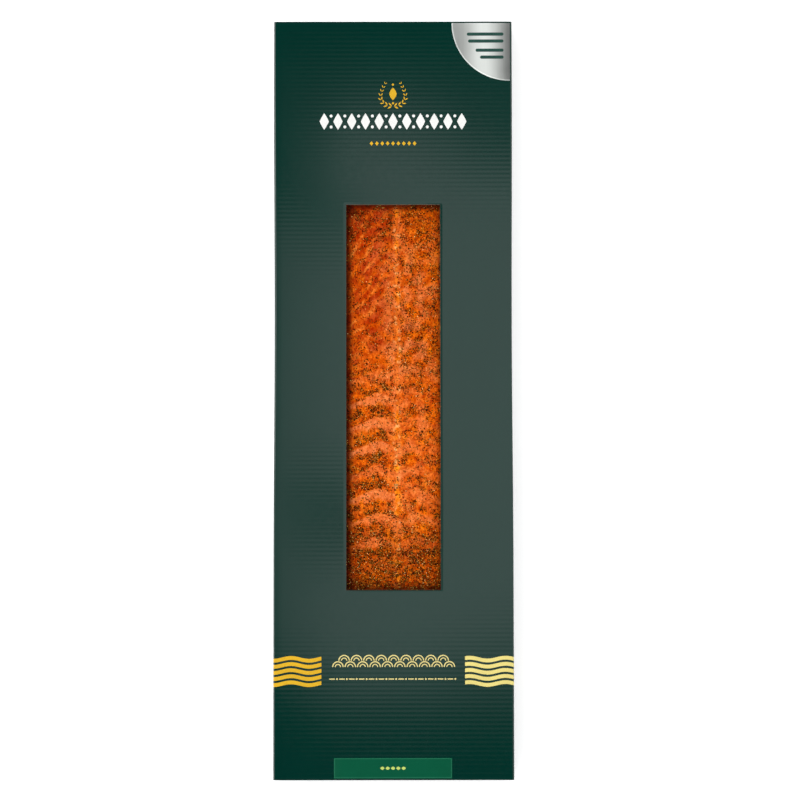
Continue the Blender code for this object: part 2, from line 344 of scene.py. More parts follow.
def new_growth(name, inputs):
    """An empty Geometry Nodes tree that takes a material last: the tree, what it is asked, and its end."""
    inputs = {**inputs, "Material": "Material"}
    return new_group(name, inputs, {"Geometry": "Geometry"}, "GeometryNodeTree")


def end_growth(tree, end, geometry, material):
    """Ends a Geometry Nodes tree: its instances made real, and its material set."""
    real = add_node(tree, "GeometryNodeRealizeInstances", {0: geometry})
    coloured = add_node(tree, "GeometryNodeSetMaterial", {"Geometry": real.outputs[0], "Material": material})
    tree.links.new(coloured.outputs[0], end.inputs[0])
    return tree


def fresh_material(name):
    """A material, its tree and its Principled shader."""
    material = bpy.data.materials.new(name)
    material.use_nodes = True
    return material, material.node_tree, material.node_tree.nodes["Principled BSDF"]


def feed(tree, shader, **values):
    """Sets or links the shader's inputs; an underscore stands for a space."""
    fill(tree, shader, {key.replace("_", " "): value for key, value in values.items()})


# Shared effects

def mottled(tree, broad, fine, amount):
    """Cloudy unevenness on two scales: a tone round 1 and a height for a bump, from one shared group."""
    group = bpy.data.node_groups.get("mottle") or mottle_group()
    values = {"Broad Scale": broad, "Fine Scale": fine, "Amount": amount}
    return add_node(tree, "ShaderNodeGroup", values, node_tree=group).outputs


def mottle_group():
    inputs = {"Broad Scale": 25.0, "Fine Scale": 900.0, "Amount": 0.1}
    group, asked, end = new_group("mottle", inputs, {"Tone": "Float", "Height": "Float"})
    place = place_of(group)
    broad = noise_at(group, place, asked["Broad Scale"], 3.0)
    fine = noise_at(group, place, asked["Fine Scale"], 2.0)
    swing = times(group, minus(group, plus(group, broad, fine), 1.0), asked["Amount"])
    fill(group, end, {"Tone": plus(group, times(group, swing, 2.0), 1.0), "Height": fine})
    return group


def toned(tree, base, tone):
    """A colour made lighter or darker by a tone round 1."""
    grey = add_node(tree, "ShaderNodeCombineColor", {0: tone, 1: tone, 2: tone}).outputs[0]
    return blended(tree, 1.0, base, grey, "MULTIPLY")


def board_material():
    """Matt green laminate, rubbed paler along the folds, with raw paper at cut edges and inside."""
    board = bpy.context.scene.salmon_board
    material, tree, shader = fresh_material("green_board")
    place = place_of(tree)
    rubbing = noise_at(tree, place, 210.0, 4.0, 0.65)
    fold = times(tree, attribute(tree, "fold"), stepped(tree, rubbing, 0.50, 0.72))
    green = toned(tree, board.green, mottled(tree, 18.0, 1400.0, 0.10)["Tone"])
    laminate = blended(tree, times(tree, fold, 0.55), green, board.worn)
    fibre = noise_at(tree, place, 700.0, 4.0, 0.6, (0.25, 1.0, 1.0))
    shaded = tuple(0.72 * c for c in board.paper)
    paper = blended(tree, stepped(tree, fibre, 0.3, 0.7), shaded, board.paper)
    raw = stepped(tree, attribute(tree, "raw"), 0.35, 0.70)
    grain = noise_at(tree, place, 2600.0, 2.0)
    creased = times(tree, attribute(tree, "fold"), 0.8)
    smooth = mixed(tree, creased, stepped(tree, rubbing, 0.3, 0.7, 0.07, 0.09), 0.45)
    height = plus(tree, grain, times(tree, fibre, raw))
    feed(tree, shader, Base_Color=blended(tree, raw, laminate, paper), Specular_IOR_Level=0.55)
    feed(tree, shader, Roughness=mixed(tree, raw, smooth, 0.9), Normal=bumped(tree, height, 0.000004, 0.12))
    return material


def ink_material(name, ink, roughness=0.32, shine=None, gloss=0.35):
    """Printed ink with a little unevenness; shine is a second colour that it drifts towards."""
    material, tree, shader = fresh_material(name)
    mottle = mottled(tree, 60.0, 1800.0, 0.12)
    drift = stepped(tree, noise_at(tree, place_of(tree), 55.0, 2.0), 0.35, 0.65)
    base = toned(tree, blended(tree, drift, ink, shine or ink), mottle["Tone"])
    rough = stepped(tree, mottle["Height"], 0.3, 0.7, roughness - 0.05, roughness + 0.08)
    feed(tree, shader, Base_Color=base, Roughness=rough, Specular_IOR_Level=gloss)
    feed(tree, shader, Normal=bumped(tree, mottle["Height"], 0.00001, 0.4))
    return material


def silver_material():
    """Soft metallic foil with fine brushing, its colour painted with upright bands of reflection that fade to
    darker on the right, and a painted highlight along its rim.
    """
    labels = bpy.context.scene.salmon_labels
    material, tree, shader = fresh_material("silver_foil")
    place = place_of(tree)
    across, along, _ = add_node(tree, "ShaderNodeSeparateXYZ", {0: place}).outputs
    radius = CORNER_HIGH.x - CORNER_LOW.x
    centred = maths(tree, "DIVIDE", minus(tree, across, CORNER_LOW.x), radius)
    # Painted reflection: upright bands of lighter and darker foil
    band = maths(tree, "COSINE", times(tree, minus(tree, centred, 0.57), 6.4))
    right, head = minus(tree, across, CORNER_HIGH.x), minus(tree, along, CORNER_HIGH.y)
    away = maths(tree, "SQRT", plus(tree, times(tree, right, right), times(tree, head, head)))
    # Painted highlight: a paler ring just inside the arc's edge
    rim = stepped(tree, away, radius - 1.2 * MM, radius - 0.5 * MM)
    brushed = noise_at(tree, place, 1500.0, 3.0, 0.6, (1.0, 0.03, 1.0))
    cloud = noise_at(tree, place, 40.0, 2.0)
    # Painted reflection: the bands, and foil that darkens towards the right
    level = plus(
        tree, times(tree, band, 0.30), times(tree, cloud, 0.20), times(tree, brushed, 0.10),
        times(tree, minus(tree, 0.5, centred), 0.26),
    )
    tone = plus(tree, level, plus(tree, times(tree, rim, 0.30), 0.45))
    feed(tree, shader, Base_Color=toned(tree, labels.silver, tone), Metallic=0.35)
    feed(tree, shader, Roughness=stepped(tree, brushed, 0.3, 0.7, 0.36, 0.46))
    feed(tree, shader, Normal=bumped(tree, brushed, 0.00002, 0.35))
    return material


def dust_of(tree, place, amount):
    """Specks of herb dust, one in each small cell at most and more of them where the amount is high."""
    warped = noise_at(tree, place, 1500.0, 2.0)
    values = {"Vector": place, "Scale": 780.0, "Randomness": 1.0}
    cells = add_node(tree, "ShaderNodeTexVoronoi", values)
    chance = add_node(tree, "ShaderNodeSeparateColor", {0: cells.outputs["Color"]}).outputs[0]
    size = plus(tree, times(tree, warped, 0.30), 0.16)
    spot = stepped(tree, minus(tree, cells.outputs["Distance"], size), -0.06, 0.04, 1.0, 0.0)
    kept = stepped(tree, minus(tree, amount, chance), -0.02, 0.02)
    return times(tree, spot, kept)


def flesh_material():
    """Wet cured flesh, coloured by what the mesh says of each place and broken up by fine grain."""
    fish, herbs = bpy.context.scene.salmon_fish, bpy.context.scene.salmon_herbs
    material, tree, shader = fresh_material("cured_flesh")
    place = place_of(tree)
    grain = noise_at(tree, place, 480.0, 5.0, 0.70)
    fibre = noise_at(tree, place, 620.0, 4.0, 0.68, (1.0, 0.55, 1.0))
    broad = noise_at(tree, place, 75.0, 3.0)
    steeped = stepped(tree, noise_at(tree, place, 70.0, 3.0, 0.6, (1.0, 0.8, 1.0)), 0.46, 0.66, 0.0, 0.60)
    base = blended(tree, steeped, fish.orange, fish.golden)

    # What the mesh says of each place
    # Deeper flesh, with painted shade towards the head end of the window
    base = blended(tree, attribute(tree, "deep"), base, fish.deep)
    base = blended(tree, stepped(tree, broad, 0.45, 0.74, 0.0, 0.20), base, fish.pink)
    base = blended(tree, attribute(tree, "bare"), base, fish.pink)
    base = blended(tree, attribute(tree, "fat"), base, fish.fat)
    base = blended(tree, attribute(tree, "pale"), base, fish.cream)
    # Herb stain, and painted shade towards the head end of the window
    seep_and_shade = times(tree, attribute(tree, "stain_and_shade"), stepped(tree, grain, 0.36, 0.60))
    base = blended(tree, times(tree, seep_and_shade, 0.90), base, fish.stain_and_shade)
    # Painted shadow along the window's edges
    base = blended(tree, attribute(tree, "rim"), base, fish.rim)

    # Fine grain and lumps, fainter on a bare cut, and specks of dust
    shade = stepped(tree, plus(tree, fibre, times(tree, grain, 0.6)), 0.60, 1.00)
    shade = blended(tree, shade, (0.62, 0.34, 0.15), (1.12, 1.20, 1.25))
    lump = stepped(tree, noise_at(tree, place, 210.0, 3.0, 0.6), 0.36, 0.62)
    lump = blended(tree, lump, (0.84, 0.66, 0.50), (1.05, 1.08, 1.10))
    uneven = blended(tree, 1.0, shade, lump, "MULTIPLY")
    uneven = blended(tree, times(tree, attribute(tree, "bare"), 0.45), uneven, (1.0, 1.0, 1.0))
    base = blended(tree, 1.0, base, uneven, "MULTIPLY")
    base = blended(tree, dust_of(tree, place, attribute(tree, "dust")), base, herbs.dust)
    rough = stepped(tree, grain, 0.35, 0.65, 0.22, 0.44)
    height = plus(tree, times(tree, fibre, 0.7), grain)
    feed(tree, shader, Base_Color=base, Roughness=rough)
    feed(tree, shader, Normal=bumped(tree, height, 0.00022, 0.8), Coat_Weight=fish.wetness)
    feed(tree, shader, Coat_Roughness=0.12, Subsurface_Weight=0.10, Subsurface_Scale=0.0010)
    feed(tree, shader, Specular_IOR_Level=0.02, Specular_Tint=(1.0, 0.72, 0.50))
    feed(tree, shader, Subsurface_Radius=(1.0, 0.35, 0.15))
    return material


def herb_material(name, dark, middle, light):
    """Dried herb, each flake with its own tone."""
    material, tree, shader = fresh_material(name)
    tint = attribute(tree, "tint")
    first = blended(tree, stepped(tree, tint, 0.10, 0.60), dark, middle)
    base = blended(tree, stepped(tree, tint, 0.60, 0.98), first, light)
    speck = noise_at(tree, place_of(tree), 2500.0, 2.0)
    base = toned(tree, base, plus(tree, times(tree, speck, 0.8), 0.6))
    feed(tree, shader, Base_Color=base, Roughness=stepped(tree, speck, 0.3, 0.7, 0.30, 0.55))
    feed(tree, shader, Normal=bumped(tree, speck, 0.00008, 0.6), Specular_IOR_Level=0.01)
    return material


def film_material():
    """Clear tight film: what lies under it, with soft reflections that grow towards its edge."""
    film = bpy.context.scene.salmon_film
    material, tree, shader = fresh_material("clear_film")
    place = place_of(tree)
    wave = noise_at(tree, place, 260.0, 3.0, 0.55)
    crease = noise_at(tree, place, 90.0, 4.0, 0.7, (1.0, 0.3, 1.0))
    height = plus(tree, wave, crease)
    ruffle = bumped(tree, height, 0.0003, 0.7)
    shine = add_node(tree, "ShaderNodeBsdfGlossy", {"Roughness": 0.10, "Normal": ruffle})
    through = add_node(tree, "ShaderNodeBsdfTransparent", {"Color": film.tint})
    edge = add_node(tree, "ShaderNodeFresnel", {"IOR": 1.035, "Normal": ruffle}).outputs[0]
    mix = add_node(tree, "ShaderNodeMixShader", {0: edge, 1: through.outputs[0], 2: shine.outputs[0]})
    tree.links.new(mix.outputs[0], tree.nodes["Material Output"].inputs["Surface"])
    tree.nodes.remove(shader)
    return material


# Small tools for meshes

def placed(name, data):
    """A new object at the origin, linked to the scene."""
    made = bpy.data.objects.new(name, data)
    bpy.context.scene.collection.objects.link(made)
    return made


def turned_out(mesh):
    """The mesh with its faces turned outwards."""
    shell = bmesh.new()
    shell.from_mesh(mesh)
    bmesh.ops.recalc_face_normals(shell, faces=shell.faces)
    shell.to_mesh(mesh)
    shell.free()
    return mesh


def new_mesh(name, points, faces):
    mesh = bpy.data.meshes.new(name)
    mesh.from_pydata([tuple(p) for p in points], [], [tuple(f) for f in faces])
    return mesh


def store(mesh, label, numbers):
    """Numbers kept on the mesh's points under a label."""
    layer = mesh.attributes.new(label, "FLOAT", "POINT")
    layer.data.foreach_set("value", np.asarray(numbers, dtype=np.float32).ravel())


def mesh_object(name, points, faces, material, values=None, sharp=math.radians(38.0)):
    """An object at the origin from points and faces, with point values as attributes."""
    mesh = new_mesh(name, points, faces)
    for label, numbers in (values or {}).items():
        store(mesh, label, numbers)
    turned_out(mesh)
    mesh.polygons.foreach_set("use_smooth", np.ones(len(mesh.polygons), dtype=bool))
    mesh.set_sharp_from_angle(angle=sharp)
    mesh.materials.append(material)
    return placed(name, mesh)


def settle(piece, slot, *nodes):
    """The piece goes with the carton's body and stands for the nodes; its slot is not used."""
    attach(piece, "root")
    if nodes:
        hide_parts(*nodes)
    return piece


def evened(values, low, high):
    """0 below low, 1 above high, smooth between them."""
    step = np.clip((np.asarray(values, dtype=float) - low) / (high - low), 0.0, 1.0)
    return step * step * (3.0 - 2.0 * step)


def noise_over(x, y, size, layer=0.0):
    """Smooth noise from -1 to 1 over arrays of places, with lumps of the given size in metres."""
    x, y = np.broadcast_arrays(np.asarray(x, dtype=float), np.asarray(y, dtype=float))
    flat = [noise.noise(Vector((a / size, b / size, layer))) for a, b in zip(x.ravel(), y.ravel())]
    return np.array(flat).reshape(x.shape)


def grid_faces(rows, columns, first=0):
    """Quads over a grid of points numbered row by row."""
    faces = []
    for i in range(rows - 1):
        for j in range(columns - 1):
            a = first + i * columns + j
            faces.append((a, a + 1, a + columns + 1, a + columns))
    return faces


def grid_border(rows, columns):
    """Numbers of the points round a grid's border, in order."""
    border = list(range(columns)) + [i * columns + columns - 1 for i in range(1, rows)]
    border += [(rows - 1) * columns + j for j in range(columns - 2, -1, -1)]
    return border + [i * columns for i in range(rows - 2, 0, -1)]


def closed_sheet(top, foot):
    """Points and faces of the closed sheet between two grids of the same size."""
    rows, columns = top.shape[:2]
    size = rows * columns
    faces = grid_faces(rows, columns) + [face[::-1] for face in grid_faces(rows, columns, size)]
    border = grid_border(rows, columns)
    faces += [(a, b, b + size, a + size) for a, b in zip(border, border[1:] + border[:1])]
    return np.concatenate([top.reshape(-1, 3), foot.reshape(-1, 3)]), faces


# The carton

def half_width_at(y):
    """Half the carton's width, which is drawn in a little beside the window."""
    reach = np.minimum(np.abs(np.asarray(y, dtype=float) - WAIST_MIDDLE) / WAIST_REACH, 1.0)
    return CARTON_HIGH.x - PRINT_ROOM - WAIST * np.cos(reach * math.pi / 2) ** 2


def washboard(along):
    """How far the liner dips between flutes, along the way that they repeat."""
    board = bpy.context.scene.salmon_board
    return board.flute_relief * (0.5 - 0.5 * np.cos(2.0 * math.pi * np.asarray(along) / board.flute_pitch))


def front_dip(x, y):
    """How far the front lies below its flat: washboard, and a slack, uneven sheet between the folds."""
    board = bpy.context.scene.salmon_board
    across = 1.0 - np.clip(np.abs(x) / (half_width_at(y) - board.fold_radius), 0.0, 1.0) ** 2
    slack = 0.75 + 0.25 * np.cos(np.asarray(y) * 21.0 + 0.8)
    uneven = board.ripple * (1.0 + noise_over(x, y, 0.060, 41.0)) * np.sqrt(across)
    inward = (half_width_at(y) - board.fold_radius - np.abs(x)) / ROLL_REACH
    rolled = board.rolled * np.clip(1.0 - inward, 0.0, 1.0) ** 2
    return washboard(y) + board.sag * across * slack + uneven + rolled


def wrap(across, along, lift):
    """A place on the carton's outside, given as distance round it from the middle of the front."""
    board = bpy.context.scene.salmon_board
    across, along = np.asarray(across, dtype=float), np.asarray(along, dtype=float)
    side = np.sign(across)
    flat = half_width_at(along) - board.fold_radius
    past = np.maximum(np.abs(across) - flat, 0.0)
    quarter = board.fold_radius * math.pi / 2
    turn = np.minimum(past, quarter) / board.fold_radius
    down = np.maximum(past - quarter, 0.0)
    reach = board.fold_radius + lift - washboard(along) - board.rolled * np.cos(turn)
    x = np.where(past > 0.0, side * (flat + reach * np.sin(turn)), across)
    z = FRONT_Z - board.fold_radius + reach * np.cos(turn) - down
    z = np.where(past > 0.0, z, FRONT_Z - front_dip(across, along) + lift)
    return np.stack([x, np.broadcast_to(along, x.shape), z], axis=-1)


def ring_stations(inset, radius, front_columns, back_columns, arc_steps):
    """Stations once round the section: fixed x, share of the half width, z, and the outward x and z."""
    stations = []
    low, high = inset, FRONT_Z - inset
    middle = (low + high) / 2

    def arc(side, start, centre_z):
        for step in range(arc_steps + 1):
            angle = math.radians(start + 90.0 * step / arc_steps)
            c, s = math.cos(angle), math.sin(angle)
            stations.append((side * -(inset + radius) + radius * c, side, centre_z + radius * s, c, s))

    beside = [inset + radius + away * MM for away in (0.5, 1.9, 3.5)]
    arc(1, 0.0, high - radius)
    stations.extend((-x, 1.0, high, 0.0, 1.0) for x in beside)
    stations.extend((x, 0.0, high, 0.0, 1.0) for x in front_columns)
    stations.extend((x, -1.0, high, 0.0, 1.0) for x in beside[::-1])
    arc(-1, 90.0, high - radius)
    stations.append((inset, -1.0, middle, -1.0, 0.0))
    arc(-1, 180.0, low + radius)
    stations.extend((x, 0.0, low + rise, 0.0, -1.0) for x, rise in back_columns)
    arc(1, 270.0, low + radius)
    stations.append((-inset, 1.0, middle, 1.0, 0.0))
    return np.array(stations)


def sleeve_rows(board):
    """Places along the carton: four to a flute, with the window's ends among them."""
    window = [board.window_middle + side * board.window_length / 2 for side in (-1, 1)]
    step = board.flute_pitch / 4
    rows = np.linspace(-END_Y, END_Y, round(2 * END_Y / step) + 1)
    far = np.all([np.abs(rows - edge) > 0.4 * step for edge in window], axis=0)
    return np.sort(np.concatenate([rows[far], window])), window


def make_sleeve(material):
    """Front, walls and back as one closed sheet of fluted board, with the window cut in it."""
    board = bpy.context.scene.salmon_board
    rows, window = sleeve_rows(board)
    half = board.window_width / 2

    # Places across the front, finer beside the window, and across the back, with the rib of the glued seam
    front = [0.088, 0.079, 0.070, 0.061, 0.052, 0.045]
    front += [half + 2.4 * MM, half + 1.6 * MM, half + 0.8 * MM, half, 0.025, 0.012, 0.0]
    front = front + [-x for x in front[-2::-1]]
    seam = -CARTON_HIGH.x + 0.016
    back = [(-0.060, 0.0), (-0.020, 0.0), (0.020, 0.0), (0.060, 0.0)]
    back = [(seam - 0.2 * MM, 0.0), (seam, 0.45 * MM), (seam + 0.2 * MM, 0.0)] + back
    arc_steps = 4
    outer = ring_stations(0.0, board.fold_radius, front, back, arc_steps)
    inner = ring_stations(board.thickness, 0.3 * MM, front, [(x, 0.0) for x, _ in back], arc_steps)
    around = len(outer)
    widths = half_width_at(rows)[:, None]

    # The back stops short at both ends, where the end panels are hinged
    along = np.broadcast_to(rows[:, None], (len(rows), around)).copy()
    is_back = np.zeros(around)
    is_back[(outer[:, 4] < 0.0)] = -outer[outer[:, 4] < 0.0, 4]
    pulled = (board.thickness + 0.2 * MM) * evened(np.abs(along), END_Y - 7 * MM, END_Y)
    along -= np.sign(along) * pulled * is_back[None, :]

    def shell(stations, ribbed):
        x = stations[None, :, 0] + stations[None, :, 1] * widths
        z = np.broadcast_to(stations[None, :, 2], x.shape).copy()
        if ribbed:
            edge = board.rolled * np.maximum(stations[None, :, 4], 0.0)
            dip = np.where(stations[None, :, 4] > 0.99, front_dip(x, along), washboard(along) + edge)
        else:
            dip = np.where(stations[None, :, 4] > 0.99, front_dip(x, along) - washboard(along), 0.0)
        x = x - dip * stations[None, :, 3]
        z = z - dip * stations[None, :, 4]
        return np.stack([x, along, z], axis=-1)

    skins = [shell(outer, True), shell(inner, False)]
    first_row = int(np.argmin(np.abs(rows - window[0])))
    last_row = int(np.argmin(np.abs(rows - window[1])))
    ring_x = outer[:, 0]
    on_front = (outer[:, 4] > 0.99) & (outer[:, 1] == 0.0)
    right = int(np.argmin(np.where(on_front, np.abs(ring_x - half), 9.0)))
    left = int(np.argmin(np.where(on_front, np.abs(ring_x + half), 9.0)))

    # Once round the window's edge, which the die crushes a little
    loop = [(i, right) for i in range(first_row, last_row)]
    loop += [(last_row, k) for k in range(right, left)]
    loop += [(i, left) for i in range(last_row, first_row, -1)]
    loop += [(first_row, k) for k in range(left, right, -1)]
    for i, k in loop:
        skins[0][i, k, 2] -= board.crushed
    for k in (right - 1, left + 1):
        skins[0][first_row:last_row + 1, k, 2] -= 0.3 * board.crushed
    points = [skins[0].reshape(-1, 3), skins[1].reshape(-1, 3)]
    total = len(rows) * around
    raw = np.concatenate([np.zeros(total), np.ones(total)])
    turned = (np.abs(outer[:, 3]) > 0.05) & (np.abs(outer[:, 3]) < 0.999)
    fold = np.concatenate([np.tile(turned, len(rows)), np.zeros(total)])
    for i, k in loop:
        raw[i * around + k] = 0.5

    def in_window(i, k):
        return first_row <= i < last_row and right <= k < left

    faces = []
    for skin in (0, 1):
        for i in range(len(rows) - 1):
            for k in range(around):
                if not in_window(i, k):
                    j = (k + 1) % around
                    a = skin * total + i * around
                    faces.append((a + k, a + j, a + around + j, a + around + k))
    for i in (0, len(rows) - 1):
        for k in range(around):
            a, b = i * around + k, i * around + (k + 1) % around
            faces.append((a, b, total + b, total + a))

    # The cut edge of the window, with the mouths of the flutes in its long sides
    levels = 8
    wall, height = [], []
    for i, k in loop:
        top, bottom = skins[0][i, k], skins[1][i, k]
        outward = np.array([0.0, 0.0, 0.0])
        upright = k in (right, left) and first_row < i < last_row
        if upright:
            outward[0] = 1.0 if k == right else -1.0
        elif k not in (right, left):
            outward[1] = 1.0 if i == last_row else -1.0
        flute = math.cos(2.0 * math.pi * top[1] / board.flute_pitch)
        for level in range(1, levels):
            down = level / levels
            if upright:
                inside = evened(min(down, 1.0 - down), 0.06, 0.16)
                away = evened(abs((down - 0.5) - 0.36 * flute), 0.05, 0.14)
                depth = board.pocket * float(inside * away)
            else:
                depth = 0.25 * MM * math.sin(math.pi * down)
            wall.append(top + (bottom - top) * down + outward * depth)
            height.append(1.0)
    base = 2 * total

    def wall_point(index, level):
        i, k = loop[index % len(loop)]
        if level == 0:
            return i * around + k
        if level == levels:
            return total + i * around + k
        return base + (index % len(loop)) * (levels - 1) + level - 1

    for index in range(len(loop)):
        for level in range(levels):
            faces.append((
                wall_point(index, level), wall_point(index + 1, level),
                wall_point(index + 1, level + 1), wall_point(index, level + 1),
            ))
    points.append(np.array(wall))
    values = {
        "raw": np.concatenate([raw, np.array(height)]),
        "fold": np.concatenate([fold, np.zeros(len(wall))]),
    }
    return mesh_object("carton_sleeve", np.concatenate(points), faces, material, values)


def make_closure(side, material):
    """The panel that shuts one end: hinged on the back, standing inside the walls and under the front."""
    board = bpy.context.scene.salmon_board
    radius, thick = board.fold_radius, board.thickness
    top = FRONT_Z - thick - 0.3 * MM
    half = float(half_width_at(END_Y)) - thick - 0.3 * MM
    path = [(END_Y - thick, 0.0, 0.0, -1.0)]
    for step in range(1, 7):
        angle = math.radians(270.0 + 90.0 * step / 6)
        path.append((
            END_Y - radius + radius * math.cos(angle), radius + radius * math.sin(angle),
            math.cos(angle), math.sin(angle),
        ))
    steps = round((top - radius) / (board.flute_pitch / 6))
    for step in range(1, steps + 1):
        path.append((END_Y, radius + (top - radius) * step / steps, 1.0, 0.0))
    outside, inside = [], []
    for y, z, ny, nz in path:
        dip = float(washboard(z)) if nz == 0.0 and z < top else 0.0
        outside.append((side * (y - dip * ny), z - dip * nz))
        inside.append((side * (y - thick * ny), z - thick * nz))
    inside[0] = (side * (END_Y - thick - 0.05 * MM), thick)
    section = outside + inside[::-1]
    columns = [0.2 * half, 0.6 * half, half - 0.3 * MM, half]
    columns = [-x for x in reversed(columns)] + columns
    points, raw, faces = [], [], []
    for x in columns:
        for index, (y, z) in enumerate(section):
            points.append((x, y, z))
            raw.append(1.0 if index >= len(path) else 0.0)
    size = len(section)
    for c in range(len(columns) - 1):
        for s in range(size):
            t = (s + 1) % size
            faces.append((c * size + s, c * size + t, (c + 1) * size + t, (c + 1) * size + s))
    for c in (0, len(columns) - 1):
        for s in range(len(path) - 1):
            a = c * size
            faces.append((a + s, a + s + 1, a + size - 2 - s, a + size - 1 - s))
    name = "carton_end_head" if side > 0 else "carton_end_foot"
    return mesh_object(name, points, faces, material, {"raw": raw, "fold": np.zeros(len(points))})


class SALMONBOX_OT_fold_carton(bpy.types.Operator):
    """Fold the carton of fluted board, with its window and its two shut ends"""

    bl_idname = "salmonbox.fold_carton"
    bl_label = "Fold carton"

    def execute(self, context):
        material = board_material()
        settle(make_sleeve(material), "green_board", "carton")
        for side in (-1, 1):
            settle(make_closure(side, material), "green_board", "carton")
        return {"FINISHED"}


# Print on the board

def group_input(modifier, name, value):
    """Sets a Geometry Nodes input by the identifier of the socket with that name."""
    for item in modifier.node_group.interface.items_tree:
        if item.item_type == "SOCKET" and item.in_out == "INPUT" and item.name == name:
            modifier[item.identifier] = value
            return
    raise RuntimeError(f"the tree {modifier.node_group.name} has no input {name}")


def grown(name, group, values, start=None):
    """The plain mesh that a Geometry Nodes tree makes, from an empty mesh or a given one."""
    holder = placed(name, start or bpy.data.meshes.new(name))
    modifier = holder.modifiers.new(name, "NODES")
    modifier.node_group = group
    for label, value in values.items():
        group_input(modifier, label, value)
    bpy.context.view_layer.update()
    graph = bpy.context.evaluated_depsgraph_get()
    mesh = bpy.data.meshes.new_from_object(holder.evaluated_get(graph))
    holder.modifiers.clear()
    bpy.data.objects.remove(holder)
    return mesh


def wave_tree():
    """Flat wavy bands side by side: a fine grid for each, moved up and down by a sine."""
    tree, asked, end = new_growth("wave_bands", {
        "Bands": 5, "Pitch": 0.005, "Width": 0.004, "Length": 0.05, "Height": 0.001, "Wave Length": 0.03,
        "Phase": 0.0,
    })
    band = add_node(tree, "GeometryNodeMeshGrid", {
        "Size X": asked["Length"], "Size Y": asked["Width"], "Vertices X": 90, "Vertices Y": 8,
    })
    pitch = add_node(tree, "ShaderNodeCombineXYZ", {1: asked["Pitch"]})
    line = add_node(tree, "GeometryNodeMeshLine", {"Count": asked["Bands"], "Offset": pitch.outputs[0]})
    copies = add_node(tree, "GeometryNodeInstanceOnPoints", {
        "Points": line.outputs[0], "Instance": band.outputs[0],
    })
    real = add_node(tree, "GeometryNodeRealizeInstances", {0: copies.outputs[0]})
    place = add_node(tree, "GeometryNodeInputPosition")
    x = add_node(tree, "ShaderNodeSeparateXYZ", {0: place.outputs[0]}).outputs[0]
    turns = maths(tree, "DIVIDE", x, asked["Wave Length"])
    angle = plus(tree, times(tree, turns, 2.0 * math.pi), asked["Phase"])
    rise = times(tree, maths(tree, "SINE", angle), asked["Height"])
    stack = times(tree, minus(tree, asked["Bands"], 1.0), asked["Pitch"])
    move = add_node(tree, "ShaderNodeCombineXYZ", {1: minus(tree, rise, times(tree, stack, 0.5))})
    moved = add_node(tree, "GeometryNodeSetPosition", {
        "Geometry": real.outputs[0], "Offset": move.outputs[0],
    })
    return end_growth(tree, end, moved.outputs[0], asked["Material"])


def row_tree():
    """A motif repeated in an even row along X, centred on the origin."""
    tree, asked, end = new_growth("motif_row", {"Motif": "Object", "Count": 5, "Pitch": 0.01})
    pitch = add_node(tree, "ShaderNodeCombineXYZ", {0: asked["Pitch"]})
    half = times(tree, minus(tree, asked["Count"], 1.0), asked["Pitch"], -0.5)
    first = add_node(tree, "ShaderNodeCombineXYZ", {0: half})
    line = add_node(tree, "GeometryNodeMeshLine", {
        "Count": asked["Count"], "Start Location": first.outputs[0], "Offset": pitch.outputs[0],
    })
    motif = add_node(tree, "GeometryNodeObjectInfo", {"Object": asked["Motif"]})
    copies = add_node(tree, "GeometryNodeInstanceOnPoints", {
        "Points": line.outputs[0], "Instance": motif.outputs["Geometry"],
    })
    return end_growth(tree, end, copies.outputs[0], asked["Material"])


def sprig_tree():
    """A leafy stem along a curve: a thin ribbon, with leaves on both sides of it."""
    tree, asked, end = new_growth("leafy_stem", {
        "Foot": "Vector", "Bend": "Vector", "Tip": "Vector", "Leaf": "Object", "Leaves": 9, "Spread": 0.8,
    })
    stem = add_node(tree, "GeometryNodeCurveQuadraticBezier", {
        "Resolution": 16, "Start": asked["Foot"], "Middle": asked["Bend"], "End": asked["Tip"],
    })
    flat = add_node(tree, "GeometryNodeSetCurveNormal", {0: stem.outputs[0]}, mode="Z_UP")
    stroke = add_node(tree, "GeometryNodeCurvePrimitiveLine", {
        "Start": (0.0, -0.25 * MM, 0.0), "End": (0.0, 0.25 * MM, 0.0),
    })
    ribbon = add_node(tree, "GeometryNodeCurveToMesh", {
        "Curve": flat.outputs[0], "Profile Curve": stroke.outputs[0],
    })
    leaf = add_node(tree, "GeometryNodeObjectInfo", {"Object": asked["Leaf"]})
    heading = add_node(tree, "GeometryNodeInputTangent")
    kept = add_node(tree, "GeometryNodeCaptureAttribute", {"Geometry": flat.outputs[0]})
    kept.capture_items.new("VECTOR", "Heading")
    tree.links.new(heading.outputs[0], kept.inputs[1])
    spots = add_node(tree, "GeometryNodeCurveToPoints", {"Curve": kept.outputs[0], "Count": asked["Leaves"]})
    parts = add_node(tree, "ShaderNodeSeparateXYZ", {0: kept.outputs[1]})
    angle = maths(tree, "ARCTAN2", parts.outputs[1], parts.outputs[0])

    # Leaves get smaller towards the tip
    order = add_node(tree, "GeometryNodeInputIndex").outputs[0]
    size = minus(tree, 1.0, maths(tree, "DIVIDE", order, times(tree, asked["Leaves"], 1.8)))
    joined = add_node(tree, "GeometryNodeJoinGeometry", {0: ribbon.outputs[0]})
    for side in (1.0, -1.0):
        turn = plus(tree, angle, times(tree, asked["Spread"], side))
        rotation = add_node(tree, "ShaderNodeCombineXYZ", {2: turn})
        leaves = add_node(tree, "GeometryNodeInstanceOnPoints", {
            "Points": spots.outputs[0], "Instance": leaf.outputs["Geometry"], "Rotation": rotation.outputs[0],
            "Scale": size,
        })
        tree.links.new(leaves.outputs[0], joined.inputs[0])
    return end_growth(tree, end, joined.outputs[0], asked["Material"])


